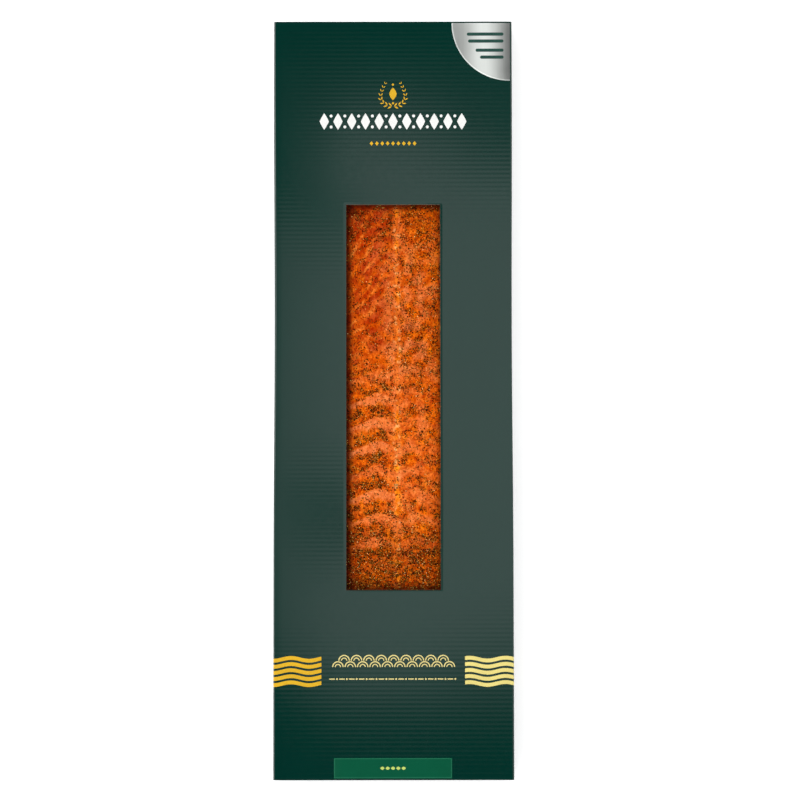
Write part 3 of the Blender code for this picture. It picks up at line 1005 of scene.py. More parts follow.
def flat_shape(name, outlines):
    """A flat mesh of polygons in the XY plane, as an object for trees to repeat."""
    points, faces = [], []
    for outline in outlines:
        faces.append(tuple(range(len(points), len(points) + len(outline))))
        points.extend((x, y, 0.0) for x, y in outline)
    return placed(name, new_mesh(name, points, faces))


def lozenge(width, height, x=0.0, y=0.0, bulge=1.0):
    """A pointed oval, or a straight-sided lozenge when bulge is 0."""
    corners = []
    for step in range(16):
        angle = 2.0 * math.pi * step / 16
        c, s = math.cos(angle), math.sin(angle)
        straight = 1.0 / (abs(c) + abs(s))
        rounded = 0.5 + 0.5 * straight
        reach = straight + (rounded - straight) * bulge
        corners.append((x + width / 2 * c * reach, y + height / 2 * s * reach))
    return corners


def round_place(radius, angle, x=0.0, y=0.0):
    return (x + radius * math.cos(angle), y + radius * math.sin(angle))


def disc(radius, x=0.0, y=0.0, steps=14):
    return [round_place(radius, 2.0 * math.pi * i / steps, x, y) for i in range(steps)]


def bar(width, height, x=0.0, y=0.0):
    """A bar with half-round ends."""
    half, radius = width / 2 - height / 2, height / 2
    turns = [(radius * math.sin(a), radius * math.cos(a)) for a in np.linspace(0.0, math.pi, 7)]
    return [(x + half + dx, y - dy) for dx, dy in turns] + [(x - half - dx, y + dy) for dx, dy in turns]


def arch_pieces(outer, inner, steps=12):
    """A half ring standing on X, as quads."""
    angles = np.linspace(0.0, math.pi, steps + 1)
    return [
        [round_place(outer, a), round_place(outer, b), round_place(inner, b), round_place(inner, a)]
        for a, b in zip(angles, angles[1:])
    ]


def lay_ink(name, meshes, material, lay=wrap, lift=None, cut=0.6 * MM):
    """One piece from flat meshes given with their shift: cut fine along Y, laid on the board, made solid."""
    lift = lift or bpy.context.scene.salmon_print.lift
    joined = bmesh.new()
    for mesh, (dx, dy) in meshes:
        part = bmesh.new()
        part.from_mesh(mesh)
        bmesh.ops.translate(part, verts=part.verts, vec=(dx, dy, 0.0))
        moved = bpy.data.meshes.new("moved")
        part.to_mesh(moved)
        part.free()
        joined.from_mesh(moved)
        bpy.data.meshes.remove(moved)
    bmesh.ops.remove_doubles(joined, verts=joined.verts, dist=0.002 * MM)
    lowest = min(v.co.y for v in joined.verts)
    highest = max(v.co.y for v in joined.verts)
    if cut:
        for step in range(1, int((highest - lowest) / cut) + 1):
            geometry = joined.verts[:] + joined.edges[:] + joined.faces[:]
            bmesh.ops.bisect_plane(
                joined, geom=geometry, plane_co=(0.0, lowest + step * cut, 0.0), plane_no=(0.0, 1.0, 0.0),
            )
    joined.verts.ensure_lookup_table()
    flat = np.array([v.co[:] for v in joined.verts])
    faces = [[v.index for v in face.verts] for face in joined.faces]
    border = [[v.index for v in edge.verts] for edge in joined.edges if len(edge.link_faces) == 1]
    joined.free()
    top = lay(flat[:, 0], flat[:, 1], lift)
    foot = lay(flat[:, 0], flat[:, 1], -0.5 * lift)
    size = len(flat)
    faces += [[i + size for i in face[::-1]] for face in faces]
    faces += [[a, b, b + size, a + size] for a, b in border]
    return mesh_object(name, np.concatenate([top, foot]), faces, material)


def make_waves(trees):
    """The two groups of wavy gold bands, which run over the long folds."""
    ink = bpy.context.scene.salmon_print
    gold = ink_material("gold_print", ink.deep_gold, 0.34, tuple(1.10 * c for c in ink.deep_gold))
    # The right waves' paler gold is painted light
    pale = ink_material("gold_print_painted_lit", ink.painted_lit_gold, 0.34, tuple(1.06 * c for c in ink.painted_lit_gold))
    outer = CARTON_HIGH.x + ink.wave_wall
    made = []

    # Side, inner end of the bands and the place of one crest, all across the carton
    for name, side, inner, crest, material in (
        ("gold_waves_left", -1, 0.0572, -0.0812, gold), ("gold_waves_right", 1, 0.0565, 0.0885, pale),
    ):
        middle, span = side * (inner + outer) / 2, outer - inner
        phase = math.pi / 2 - 2.0 * math.pi * (crest - middle) / ink.wave_length
        mesh = grown(name, trees["waves"], {
            "Bands": ink.bands, "Pitch": ink.band_pitch, "Width": ink.band_width, "Length": span,
            "Height": ink.wave_height, "Wave Length": ink.wave_length, "Phase": phase, "Material": material,
        })
        made.append(lay_ink(name, [(mesh, (middle, ink.wave_middle))], material, cut=None))
    return gold, made


def make_ornaments(trees, gold):
    """Generic ornaments: a wreath, friezes and rules, one piece for each colour of ink."""
    ink = bpy.context.scene.salmon_print
    white = ink_material("white_print", ink.white, 0.36)
    cream = ink_material("cream_print", ink.cream, 0.36)

    def row_of(motif, number, pitch, material, y, x=0.0):
        asked = {"Motif": motif, "Count": number, "Pitch": pitch, "Material": material}
        return grown("row", trees["row"], asked), (x, y)

    leaf = flat_shape("leaf", [[(x + 2.1 * MM, y) for x, y in lozenge(3.6 * MM, 1.25 * MM)]])
    centre = flat_shape("centre", [
        lozenge(6.0 * MM, 10.0 * MM, 0.0, 0.5 * MM),
        disc(0.9 * MM, 0.0, 8.0 * MM), disc(0.9 * MM, 0.0, -7.0 * MM),
    ])
    dot = flat_shape("dot", [lozenge(3.0 * MM, 3.6 * MM, bulge=0.0)])
    wreath = [grown("sprig", trees["sprig"], {
        "Foot": (0.8 * MM * side, -9.5 * MM, 0.0), "Bend": (15.5 * MM * side, -7.5 * MM, 0.0),
        "Tip": (6.5 * MM * side, 8.5 * MM, 0.0), "Leaf": leaf, "Leaves": 8, "Spread": 0.62, "Material": gold,
    }) for side in (-1, 1)]
    parts = [(mesh, (0.0, ink.wreath_y)) for mesh in (*wreath, centre.data)]
    made = [lay_ink("gold_wreath", parts + [row_of(dot, 9, 4.3 * MM, gold, ink.dots_y)], gold)]

    upright = flat_shape("upright", [lozenge(7.4 * MM, 13.2 * MM, bulge=0.35)])
    small = flat_shape("small", [disc(1.2 * MM, 0.0, y * MM) for y in (-4.4, 4.4)])
    made.append(lay_ink("white_frieze", [
        row_of(upright, 11, ink.white_pitch, white, ink.white_y),
        row_of(small, 10, ink.white_pitch, white, ink.white_y),
    ], white))

    scallop = flat_shape("scallop", arch_pieces(4.6 * MM, 3.7 * MM) + arch_pieces(2.5 * MM, 1.7 * MM, 8))
    dash = flat_shape("dash", [bar(4.6 * MM, 0.9 * MM), disc(0.75 * MM, 3.9 * MM)])
    made.append(lay_ink("cream_friezes", [
        row_of(scallop, 10, 9.8 * MM, cream, ink.cream_y),
        row_of(scallop, 9, 9.8 * MM, cream, ink.cream_y + 5.0 * MM),
        row_of(dash, 13, 7.8 * MM, cream, ink.cream_y - 9.5 * MM, -1.9 * MM),
    ], cream))
    for motif in (leaf, centre, dot, upright, small, scallop, dash):
        bpy.data.objects.remove(motif)
    return made


class SALMONBOX_OT_print_front(bpy.types.Operator):
    """Print the gold waves and the plain ornaments on the board"""

    bl_idname = "salmonbox.print_front"
    bl_label = "Print front"

    def execute(self, context):
        trees = {"waves": wave_tree(), "row": row_tree(), "sprig": sprig_tree()}
        gold, waves = make_waves(trees)
        wreath, frieze, cream = make_ornaments(trees, gold)
        for piece in (*waves, wreath):
            settle(piece, "gold_print", "carton")
        settle(frieze, "white_print", "carton")
        settle(cream, "gold_print", "carton")
        return {"FINISHED"}


# Labels

def on_label(x, y, lift):
    """A place on the upper face of a label, where the flutes show through more faintly."""
    labels = bpy.context.scene.salmon_labels
    z = FRONT_Z - front_dip(x, y) + 0.5 * washboard(y) + labels.thickness + lift
    return np.stack([np.asarray(x, dtype=float), np.asarray(y, dtype=float), z], axis=-1)


def make_plate(name, x, y, material):
    """A thin closed label over a grid of places, turned down to the board round its rim."""
    top = on_label(x, y, 0.0)
    rim = np.zeros(x.shape, dtype=bool)
    rim[0], rim[-1], rim[:, 0], rim[:, -1] = True, True, True, True
    top[..., 2] -= np.where(rim, 0.45 * bpy.context.scene.salmon_labels.thickness, 0.0)
    foot = np.stack([x, y, FRONT_Z - front_dip(x, y) + 0.01 * MM], axis=-1)
    return mesh_object(name, *closed_sheet(top, foot), material)


def make_corner_label(material):
    """The silver quarter disc, as a grid of rings round its corner."""
    radius = CORNER_HIGH.x - CORNER_LOW.x
    inside = np.arange(1.2 * MM, radius - 0.5 * MM, 0.8 * MM)
    rings = np.concatenate([[0.05 * MM, 0.5 * MM], inside, [radius - 0.3 * MM, radius]])
    angles = np.radians(np.concatenate([[180.0, 180.5], np.linspace(182.0, 268.0, 60), [269.5, 270.0]]))
    x = CORNER_HIGH.x + rings[:, None] * np.cos(angles)[None, :]
    y = CORNER_HIGH.y + rings[:, None] * np.sin(angles)[None, :]
    return make_plate("silver_label", x, y, material)


def make_base_label(material):
    """The green label at the foot."""
    def places(low, high, step):
        inside = np.linspace(low + 0.3 * MM, high - 0.3 * MM, max(int((high - low) / step), 2))
        return np.concatenate([[low], inside, [high]])

    across, along = places(BASE_LOW.x, BASE_HIGH.x, 8 * MM), places(BASE_LOW.y, BASE_HIGH.y, 0.6 * MM)
    x, y = np.meshgrid(across, along)
    return make_plate("green_label", x, y, material)


def frame_outline(low, high, inset, width):
    """A thin rectangular frame as four quads."""
    a, b, c, d = low.x + inset, high.x - inset, low.y + inset, high.y - inset
    return [
        [(a, c), (b, c), (b, c + width), (a, c + width)], [(a, d - width), (b, d - width), (b, d), (a, d)],
        [(a, c + width), (a + width, c + width), (a + width, d - width), (a, d - width)],
        [(b - width, c + width), (b, c + width), (b, d - width), (b - width, d - width)],
    ]


class SALMONBOX_OT_stick_labels(bpy.types.Operator):
    """Stick the silver corner label and the green label on the front, with their plain marks"""

    bl_idname = "salmonbox.stick_labels"
    bl_label = "Stick labels"

    def execute(self, context):
        labels = context.scene.salmon_labels
        settle(make_corner_label(silver_material()), "silver_foil", "corner_label")
        green = ink_material("label_green", labels.base_green, 0.40, gloss=0.08)
        settle(make_base_label(green), "label_green", "base_label")

        # Four bars for the words on the silver: how far below the top edge, and how wide, in millimetres
        right = CORNER_HIGH.x - 5.0 * MM
        bars = [
            bar(width * MM, 2.6 * MM, right - width * MM / 2, CORNER_HIGH.y - down * MM)
            for down, width in ((9.0, 29.5), (14.6, 28.5), (22.0, 22.5), (27.6, 19.0))
        ]
        edge = frame_outline(BASE_LOW, BASE_HIGH, 0.5 * MM, 0.35 * MM)
        dots = [lozenge(3.4 * MM, 2.6 * MM, step * 4.2 * MM) for step in (-2, -1, 0, 1, 2)]
        middle = (BASE_LOW + BASE_HIGH) / 2
        dark = ink_material("bar_print", labels.bar_green, 0.4)
        line = ink_material("border_print", labels.base_line, 0.4, gloss=0.08)
        lime = ink_material("lime_print", labels.lime, 0.4)
        for name, outlines, shift, material, node in (
            ("silver_label_bars", bars, (0.0, 0.0), dark, "corner_label"),
            ("green_label_border", edge, (0.0, 0.0), line, "base_label"),
            ("green_label_dots", dots, (middle.x, middle.y), lime, "base_label"),
        ):
            marks = flat_shape("marks", outlines)
            settle(lay_ink(name, [(marks.data, shift)], material, on_label, MARK_LIFT), "label_green", node)
            bpy.data.objects.remove(marks)
        return {"FINISHED"}


# The fish

def towards_tail(y):
    return np.maximum(0.0, (SHOULDER - y) / (SHOULDER + FISH_LENGTH / 2))


def end_rounding(y):
    portion = np.minimum(np.abs(y) / (FISH_LENGTH / 2), 1.0)
    return np.sqrt(1.0 - portion ** END_ROUNDNESS)


def fish_half_width(y):
    return FISH_HALF_WIDTH * (1.0 - TAIL_NARROWING * towards_tail(y) ** 2) * end_rounding(y)


def arc_lag(x):
    """How far a slice's edge lies behind its foremost point: two arcs that meet at the lateral line."""
    peak = np.where(x < LATERAL_LINE, ARC_PEAK_LEFT, ARC_PEAK_RIGHT)
    lag = ARC_SLOPE * (np.hypot(x - peak, ARC_NOSE) - ARC_NOSE)
    return ARC_REACH * np.tanh(lag / ARC_REACH)


def slice_phase(x, y):
    """0 just below one slice's free edge, rising to 1 at the free edge of the slice behind it."""
    return ((FISH_LENGTH - y - arc_lag(x)) / SLICE_PITCH) % 1.0


def in_slice_zone(y):
    return np.clip((SLICE_ZONE - np.abs(y)) / SLICE_FADE, 0.0, 1.0)


def slice_lift(x, y):
    phase = slice_phase(x, y)
    lip = 1.0 - SLICE_LIP / SLICE_PITCH
    climb = np.where(phase < lip, phase / lip, (1.0 - phase) / (1.0 - lip))
    return SLICE_STEP * climb * in_slice_zone(y)


def fish_top(x, y, sliced=1.0, creased=0.4):
    """Height of the upper face over the board; sliced and creased fade the slices' steps and the line."""
    half = np.maximum(fish_half_width(y), 1e-6)
    across = np.minimum(np.abs(x) / half, 1.0)
    crown = (1.0 - across ** CROWN_POWER) ** CROWN_ROOT
    height = FISH_HEIGHT * (1.0 - TAIL_THINNING * towards_tail(y) ** 2) * end_rounding(y)
    crease = LATERAL_DEPTH * np.exp(-((x - LATERAL_LINE) / LATERAL_WIDTH) ** 2)
    return np.maximum(crown * (height + LEAN * x - creased * crease + sliced * slice_lift(x, y)), EDGE_HEIGHT)


def window_share(y):
    """0 at the head end of the window, 1 at its foot."""
    board = bpy.context.scene.salmon_board
    return (board.window_middle + board.window_length / 2 - y) / board.window_length


def fish_looks(x, y):
    """What each place of the flesh looks like, as shares from 0 to 1, and how thickly herbs lie there."""
    board = bpy.context.scene.salmon_board
    down = window_share(y)
    wavering = y + 1.0 * MM * noise_over(x, y, 0.006, 3.0) + 0.6 * MM * noise_over(x, y, 0.0022, 23.0)
    phase = slice_phase(x, wavering)
    number = np.floor((FISH_LENGTH - wavering - arc_lag(x)) / SLICE_PITCH)

    # Where on the window a place lies: left of the lateral line, in the upper part, at the foot
    left = 1.0 - evened(x + 4.0 * MM * noise_over(x, y, 0.014, 27.0), -0.012, 0.009)
    upper = 1.0 - evened(down, 0.30, 0.50)
    foot = evened(down + 0.05 * noise_over(x, y, 0.016, 28.0), 0.78, 0.95)

    # The bare part of a slice: broad below its foremost point, narrow on its flanks
    peak = np.where(x < LATERAL_LINE, ARC_PEAK_LEFT, ARC_PEAK_RIGHT)
    flank = evened(np.abs(x - peak), 0.004, 0.018)
    breadth = 0.46 - 0.24 * flank + 0.18 * noise_over(x, y, 0.0045, 7.0)
    cut = evened(phase, 0.00, 0.08) * (1.0 - evened(phase, breadth - 0.10, breadth + 0.12))
    strength = 0.62 + 0.8 * noise_over(number * 0.73 + 0.31, np.sign(x - LATERAL_LINE) * 0.9, 1.0, 2.5)
    strength = np.clip(strength - 0.42 + 0.60 * left, 0.04, 0.95)
    sliced = evened(down, 0.36, 0.56) * (1.0 - 0.85 * foot)
    thin = 0.80 + 0.35 * noise_over(x, y, 0.0035, 26.0)
    bare = cut * sliced * strength * (0.65 + 0.35 * left) * thin

    # Redder belly at the upper left, crossed by slanting paler rays, and darker red flesh along the left side
    # of the window
    belly = np.exp(-((x + 0.016) / 0.014) ** 2) * upper
    across = (0.72 * x - 0.69 * y) / 0.0088 + 0.80 * noise_over(x, y, 0.020, 9.0)
    streak = 0.5 + 0.5 * np.cos(2.0 * math.pi * across)
    deep = belly * (0.92 - 0.62 * streak) + 0.60 * noise_over(x, y, 0.0065, 4.0) * (0.5 + 0.5 * upper)
    # Painted shade: deeper flesh towards the head end of the window on the left
    deep = deep + (0.16 + 0.30 * (1.0 - evened(down, 0.03, 0.13))) * left * upper
    # Darker red towards the left side of the window
    deep = deep + 0.30 * (1.0 - evened(x, -0.034, -0.020)) * (1.0 - 0.5 * upper)
    ray = evened(streak, 0.66, 1.0) * (1.0 - evened(x, -0.018, -0.006)) * upper
    ray = ray * evened(noise_over(x, y, 0.011, 2.0), -0.25, 0.40) * evened(down, 0.01, 0.12)

    # Fat along the lateral line in patches, pale beads on it, and a paler blush on the right
    wander = np.abs(x - LATERAL_LINE - 1.4 * MM * noise_over(x, y, 0.010, 5.0))
    beside = np.exp(-(wander / 0.0042) ** 2) * (1.0 - 0.6 * foot)
    patch = evened(noise_over(x * 0.5, y, 0.0085, 14.0), -0.10, 0.35)
    patch = patch * (0.60 + 0.40 * evened(down, 0.42, 0.60))
    reach = (0.9 + 4.4 * patch) * MM
    fat = (1.0 - evened(wander, 0.0, reach)) * (0.30 + 0.70 * patch) + 0.34 * ray
    bead = evened(noise_over(x, y, 0.0034, 6.0), 0.20, 0.44) * (1.0 - evened(wander, 1.0 * MM, 4.0 * MM))
    bead = 0.90 * bead * (0.75 + 0.25 * evened(down, 0.40, 0.55)) + 0.10 * ray
    blush = evened(noise_over(x, y, 0.009, 16.0), -0.20, 0.36) * np.exp(-((x - 0.012) / 0.024) ** 2)
    blush = blush * evened(down, 0.02, 0.20) * (1.0 - foot)

    # Herbs in clumps: thick at the upper right, at both ends and between the bare cuts
    fine = noise_over(x, y, 0.0015, 8.0)
    clumps = noise_over(x, y, 0.0060, 1.0) + 0.45 * noise_over(x, y, 0.0028, 17.0) + 0.35 * fine
    clumps = evened(clumps, -0.35, 0.45)
    right_upper = (1.0 - left) * (1.0 - evened(down, 0.35, 0.60))
    base = 0.31 + 0.24 * right_upper + 0.80 * foot + 0.17 * left - 0.22 * left * upper
    base = base + 0.34 * left * (1.0 - evened(down, 0.06, 0.20))
    between = sliced * (1.0 - cut) * evened(phase, 0.30, 0.55)
    base = base + between * (0.35 + 0.55 * np.exp(-((x + 0.012) / 0.012) ** 2))
    even = 0.08 + 0.14 * right_upper + 0.20 * foot
    herbs = base * (even + (1.15 - even) * clumps) * (1.0 - 0.85 * bare) * (1.0 - 0.5 * fat * (1.0 - foot))
    herbs = np.clip(herbs * (1.0 - 0.35 * blush) * (1.0 - 0.45 * beside), 0.0, 1.0)

    # Dust and stain go with the herbs; the stain also carries painted shade towards the head end of the
    # window
    dust = 0.16 + 0.55 * herbs + 0.14 * right_upper + 0.20 * foot
    dust = dust * (1.0 - 0.70 * bare) * (1.0 - 0.6 * fat) * (1.0 - 0.3 * beside)
    murk = evened(noise_over(x, y, 0.0075, 29.0) + 0.5 * noise_over(x, y, 0.003, 30.0), -0.20, 0.45)
    stain_and_shade = (0.60 * herbs + 0.50 * right_upper * murk) * (1.0 - 0.5 * beside) + 0.65 * foot
    # Painted shade towards the head end of the window
    stain_and_shade = stain_and_shade + 0.30 * (1.0 - evened(down, 0.02, 0.12))

    # Painted shadow: the flesh is darkened along the window's edges, most on the left and in its left
    # corners, where the board's cut edges shade it
    half, end = board.window_width / 2, board.window_length / 2
    middle = y - board.window_middle
    ragged = 0.8 * MM * noise_over(x, y, 0.006, 19.0)
    corner = np.hypot(np.maximum(x + half, 0.0), np.minimum(end - middle, end + middle))
    rim = 1.0 - evened(x + half + ragged, 0.8 * MM, 6.0 * MM)
    rim = np.maximum(rim, 0.55 * (1.0 - evened(half - x + ragged, 0.0, 3.0 * MM)))
    rim = np.maximum(rim, 0.9 * (1.0 - evened(end - np.abs(middle) + ragged, 0.8 * MM, 4.5 * MM)))
    rim = np.maximum(rim, 1.0 - evened(corner + ragged, 3.0 * MM, 17.0 * MM))
    return {
        "bare": np.clip(bare + 0.72 * blush * (1.0 - 0.5 * sliced) + 0.25 * beside + 0.10 * ray, 0.0, 1.0),
        "deep": np.clip(deep, 0.0, 1.0), "fat": np.clip(fat, 0.0, 1.0),
        "pale": np.clip(bead * (1.0 - 0.5 * foot), 0.0, 1.0),
        "stain_and_shade": np.clip(stain_and_shade, 0.0, 1.0) * (1.0 - 0.9 * bare), "rim": np.clip(0.92 * rim, 0.0, 1.0),
        "herbs": herbs, "dust": np.clip(dust, 0.0, 1.0),
    }


def slice_rows(reach):
    """Places along the fish: each slice's foot and lip exactly, and even steps between them."""
    rows = []
    for number in range(int(2 * FISH_LENGTH / SLICE_PITCH) + 1, 0, -1):
        edge = FISH_LENGTH - number * SLICE_PITCH
        rows += [edge, edge + 0.35 * SLICE_LIP, edge + SLICE_LIP]
        rows += list(np.linspace(edge + SLICE_LIP, edge + SLICE_PITCH, 23)[1:-1])
    rows = np.array(rows)
    return rows[np.abs(rows) < reach]


def fish_grid(rows, shares):
    """Points of the upper face over rows along the fish and shares of its half width."""
    half = fish_half_width(rows)[:, None]
    x = shares[None, :] * half
    straight = np.broadcast_to(rows[:, None], x.shape)
    ragged = 0.45 * MM * noise_over(x, np.round(straight / SLICE_PITCH) * SLICE_PITCH, 0.007, 12.0)
    y = straight - (arc_lag(x) - ragged) * in_slice_zone(straight)
    down = window_share(y)
    sliced = 0.35 + 0.65 * evened(down, 0.15, 0.50)
    z = FISH_FLOOR + fish_top(x, y - ragged * in_slice_zone(straight), sliced)
    lumps = 0.16 * MM * noise_over(x, y, 0.0045, 21.0) + 0.07 * MM * noise_over(x, y, 0.0017, 22.0)
    fade = 1.0 - evened(np.abs(shares)[None, :], 0.75, 0.98)
    return x, y, z + lumps * fade * in_slice_zone(straight)


def make_fish(material):
    """The side of salmon: a closed body, gridded finely where the window shows it."""
    tip = FISH_LENGTH / 2 - EDGE_HEIGHT / 2
    plain = FINE_REACH + 3 * MM
    ends = plain + (tip - plain) * np.sin(np.linspace(0.0, math.pi / 2, 16))
    rows = np.concatenate([-ends[::-1], slice_rows(FINE_REACH), ends])
    sides = np.linspace(FINE_SHARE, 1.0, 9)[1:]
    shares = np.concatenate([-sides[::-1], np.linspace(-FINE_SHARE, FINE_SHARE, FINE_COLUMNS), sides])
    x, y, z = fish_grid(rows, shares)
    looks = fish_looks(x, y)
    looks.pop("herbs")
    faces = grid_faces(len(rows), len(shares))
    border = grid_border(len(rows), len(shares))
    flat = np.stack([x, y, z], axis=-1).reshape(-1, 3)
    foot = flat[border] * np.array([SKIN_TUCK, SKIN_TUCK, 0.0]) + np.array([0.0, 0.0, FISH_FLOOR])
    size, around = len(flat), len(border)
    for a in range(around):
        b = (a + 1) % around
        faces.append((border[a], border[b], size + b, size + a))
    faces.append(tuple(size + a for a in range(around)))
    values = {name: np.concatenate([part.ravel(), np.zeros(around)]) for name, part in looks.items()}
    points = np.concatenate([flat, foot])
    return mesh_object("salmon_side", points, faces, material, values, math.radians(80.0))


class SALMONBOX_OT_lay_fish(bpy.types.Operator):
    """Lay the sliced side of salmon in the carton"""

    bl_idname = "salmonbox.lay_fish"
    bl_label = "Lay fish"

    def execute(self, context):
        settle(make_fish(flesh_material()), "cured_flesh", "fillet")
        return {"FINISHED"}


# Herbs

def random_value(tree, seed, smallest=None, largest=None):
    """A random number for each instance, from a seed."""
    made = add_node(tree, "FunctionNodeRandomValue", data_type="FLOAT")
    given = {"Min": smallest, "Max": largest, "Seed": seed}
    for socket in made.inputs:
        value = given.get(socket.name) if socket.enabled and socket.type in ("VALUE", "INT") else None
        if value is not None:
            tree.links.new(value, socket)
    return next(socket for socket in made.outputs if socket.enabled)


def strew_tree():
    """Flakes strewn over a bed by its share of herbs, turned and scaled at random from a seed."""
    tree, asked, end = new_growth("strewn_flakes", {
        "Bed": "Geometry", "Flake": "Object", "Amount": 1000.0, "Apart": 0.0004, "Seed": 1, "Smallest": 0.6,
        "Largest": 1.4, "Tilt": 0.4, "Lift": 0.0001,
    })
    herbs = add_node(tree, "GeometryNodeInputNamedAttribute", {"Name": "herbs"}, data_type="FLOAT")
    spots = add_node(tree, "GeometryNodeDistributePointsOnFaces", {
        "Mesh": asked["Bed"], "Distance Min": asked["Apart"], "Density Max": asked["Amount"],
        "Density Factor": herbs.outputs[0], "Seed": asked["Seed"],
    }, distribute_method="POISSON")
    lean = times(tree, asked["Tilt"], -1.0)
    lowest = add_node(tree, "ShaderNodeCombineXYZ", {0: lean, 1: lean})
    highest = add_node(tree, "ShaderNodeCombineXYZ", {0: asked["Tilt"], 1: asked["Tilt"], 2: 2.0 * math.pi})
    spin = add_node(tree, "FunctionNodeRandomValue", {
        "Min": lowest.outputs[0], "Max": highest.outputs[0], "Seed": asked["Seed"],
    }, data_type="FLOAT_VECTOR")
    spin_turn = add_node(tree, "FunctionNodeEulerToRotation", {0: spin.outputs[0]})
    turned = add_node(tree, "FunctionNodeRotateRotation", {
        "Rotation": spots.outputs["Rotation"], "Rotate By": spin_turn.outputs[0],
    }, rotation_space="LOCAL")
    raised = add_node(tree, "ShaderNodeCombineXYZ", {2: asked["Lift"]})
    moved = add_node(tree, "GeometryNodeSetPosition", {
        "Geometry": spots.outputs["Points"], "Offset": raised.outputs[0],
    })
    flake = add_node(tree, "GeometryNodeObjectInfo", {"Object": asked["Flake"]})
    copies = add_node(tree, "GeometryNodeInstanceOnPoints", {
        "Points": moved.outputs[0], "Instance": flake.outputs["Geometry"], "Rotation": turned.outputs[0],
        "Scale": random_value(tree, plus(tree, asked["Seed"], 1.0), asked["Smallest"], asked["Largest"]),
    })
    tinted = add_node(tree, "GeometryNodeStoreNamedAttribute", {
        "Geometry": copies.outputs[0], "Name": "tint",
        "Value": random_value(tree, plus(tree, asked["Seed"], 2.0)),
    }, data_type="FLOAT", domain="INSTANCE")
    return end_growth(tree, end, tinted.outputs[0], asked["Material"])


def crumb_shape(draw):
    """A flat uneven crumb of eight facets, about a millimetre long."""
    size = (0.80 * MM, 0.58 * MM, 0.24 * MM)
    points = []
    for axis in range(3):
        for side in (-1, 1):
            point = [draw.uniform(-0.3, 0.3) * s for s in size]
            point[axis] = side * size[axis] * draw.uniform(0.7, 1.15)
            points.append(tuple(point))
    faces = [(x, y, z) for x in (0, 1) for y in (2, 3) for z in (4, 5)]
    return placed("crumb", turned_out(new_mesh("crumb", points, faces)))


def leaf_shape(draw):
    """A curled leaf flake, two millimetres long and thin as paper."""
    stations, thick = 5, 0.05 * MM
    points = []
    for layer in (0, 1):
        for step in range(stations):
            t = step / (stations - 1)
            x = (t - 0.5) * 1.9 * MM
            half = 0.10 + 0.36 * math.sin(math.pi * min(t * 1.05 + 0.02, 1.0))
            half = half * MM * draw.uniform(0.75, 1.2)
            curl = 0.30 * MM * math.sin(math.pi * t) + draw.uniform(-0.04, 0.04) * MM
            for side in (-1, 1):
                points.append((x, side * half, curl + 0.12 * MM * side - layer * thick))
    faces = []
    for step in range(stations - 1):
        a, b = 2 * step, 2 * stations + 2 * step
        faces += [(a, a + 1, a + 3, a + 2), (b, b + 2, b + 3, b + 1)]
        faces += [(a, a + 2, b + 2, b), (a + 1, b + 1, b + 3, a + 3)]
    last, under = 2 * stations - 2, 2 * stations
    faces += [(0, under, under + 1, 1), (last, last + 1, under + last + 1, under + last)]
    return placed("leaf_flake", turned_out(new_mesh("leaf_flake", points, faces)))


def strand_shape():
    """A thin bent strand of dill, four millimetres long."""
    stations = 6
    points = []
    for step in range(stations):
        t = step / (stations - 1)
        radius = (0.05 + 0.11 * math.sin(math.pi * (0.15 + 0.7 * t))) * MM
        x, y, z = (t - 0.5) * 3.8 * MM, 0.55 * MM * math.sin(2.6 * t), 0.22 * MM * math.sin(math.pi * t)
        for corner in range(4):
            angle = math.pi / 2 * corner
            points.append((x, y + radius * math.cos(angle), z + radius * math.sin(angle)))
    faces = [(0, 1, 2, 3), tuple(4 * (stations - 1) + c for c in (3, 2, 1, 0))]
    for step in range(stations - 1):
        for c in range(4):
            d = (c + 1) % 4
            faces.append((4 * step + c, 4 * step + d, 4 * step + 4 + d, 4 * step + 4 + c))
    return placed("strand", turned_out(new_mesh("strand", points, faces)))


def seed_shape():
    """A small rounded grain."""
    mesh = bpy.data.meshes.new("grain")
    shell = bmesh.new()
    bmesh.ops.create_icosphere(shell, subdivisions=1, radius=0.34 * MM)
    bmesh.ops.scale(shell, verts=shell.verts, vec=(1.25, 0.95, 0.7))
    shell.to_mesh(mesh)
    shell.free()
    return placed("grain", mesh)


def herb_bed():
    """The part of the fish's upper face that herbs may lie on, with their share at each place."""
    rows, shares = slice_rows(HERB_REACH), np.linspace(-FINE_SHARE, FINE_SHARE, FINE_COLUMNS)
    x, y, z = fish_grid(rows, shares)
    points = np.stack([x, y, z], axis=-1).reshape(-1, 3)
    mesh = new_mesh("herb_bed", points, grid_faces(len(rows), len(shares)))
    store(mesh, "herbs", fish_looks(x, y)["herbs"])
    return mesh


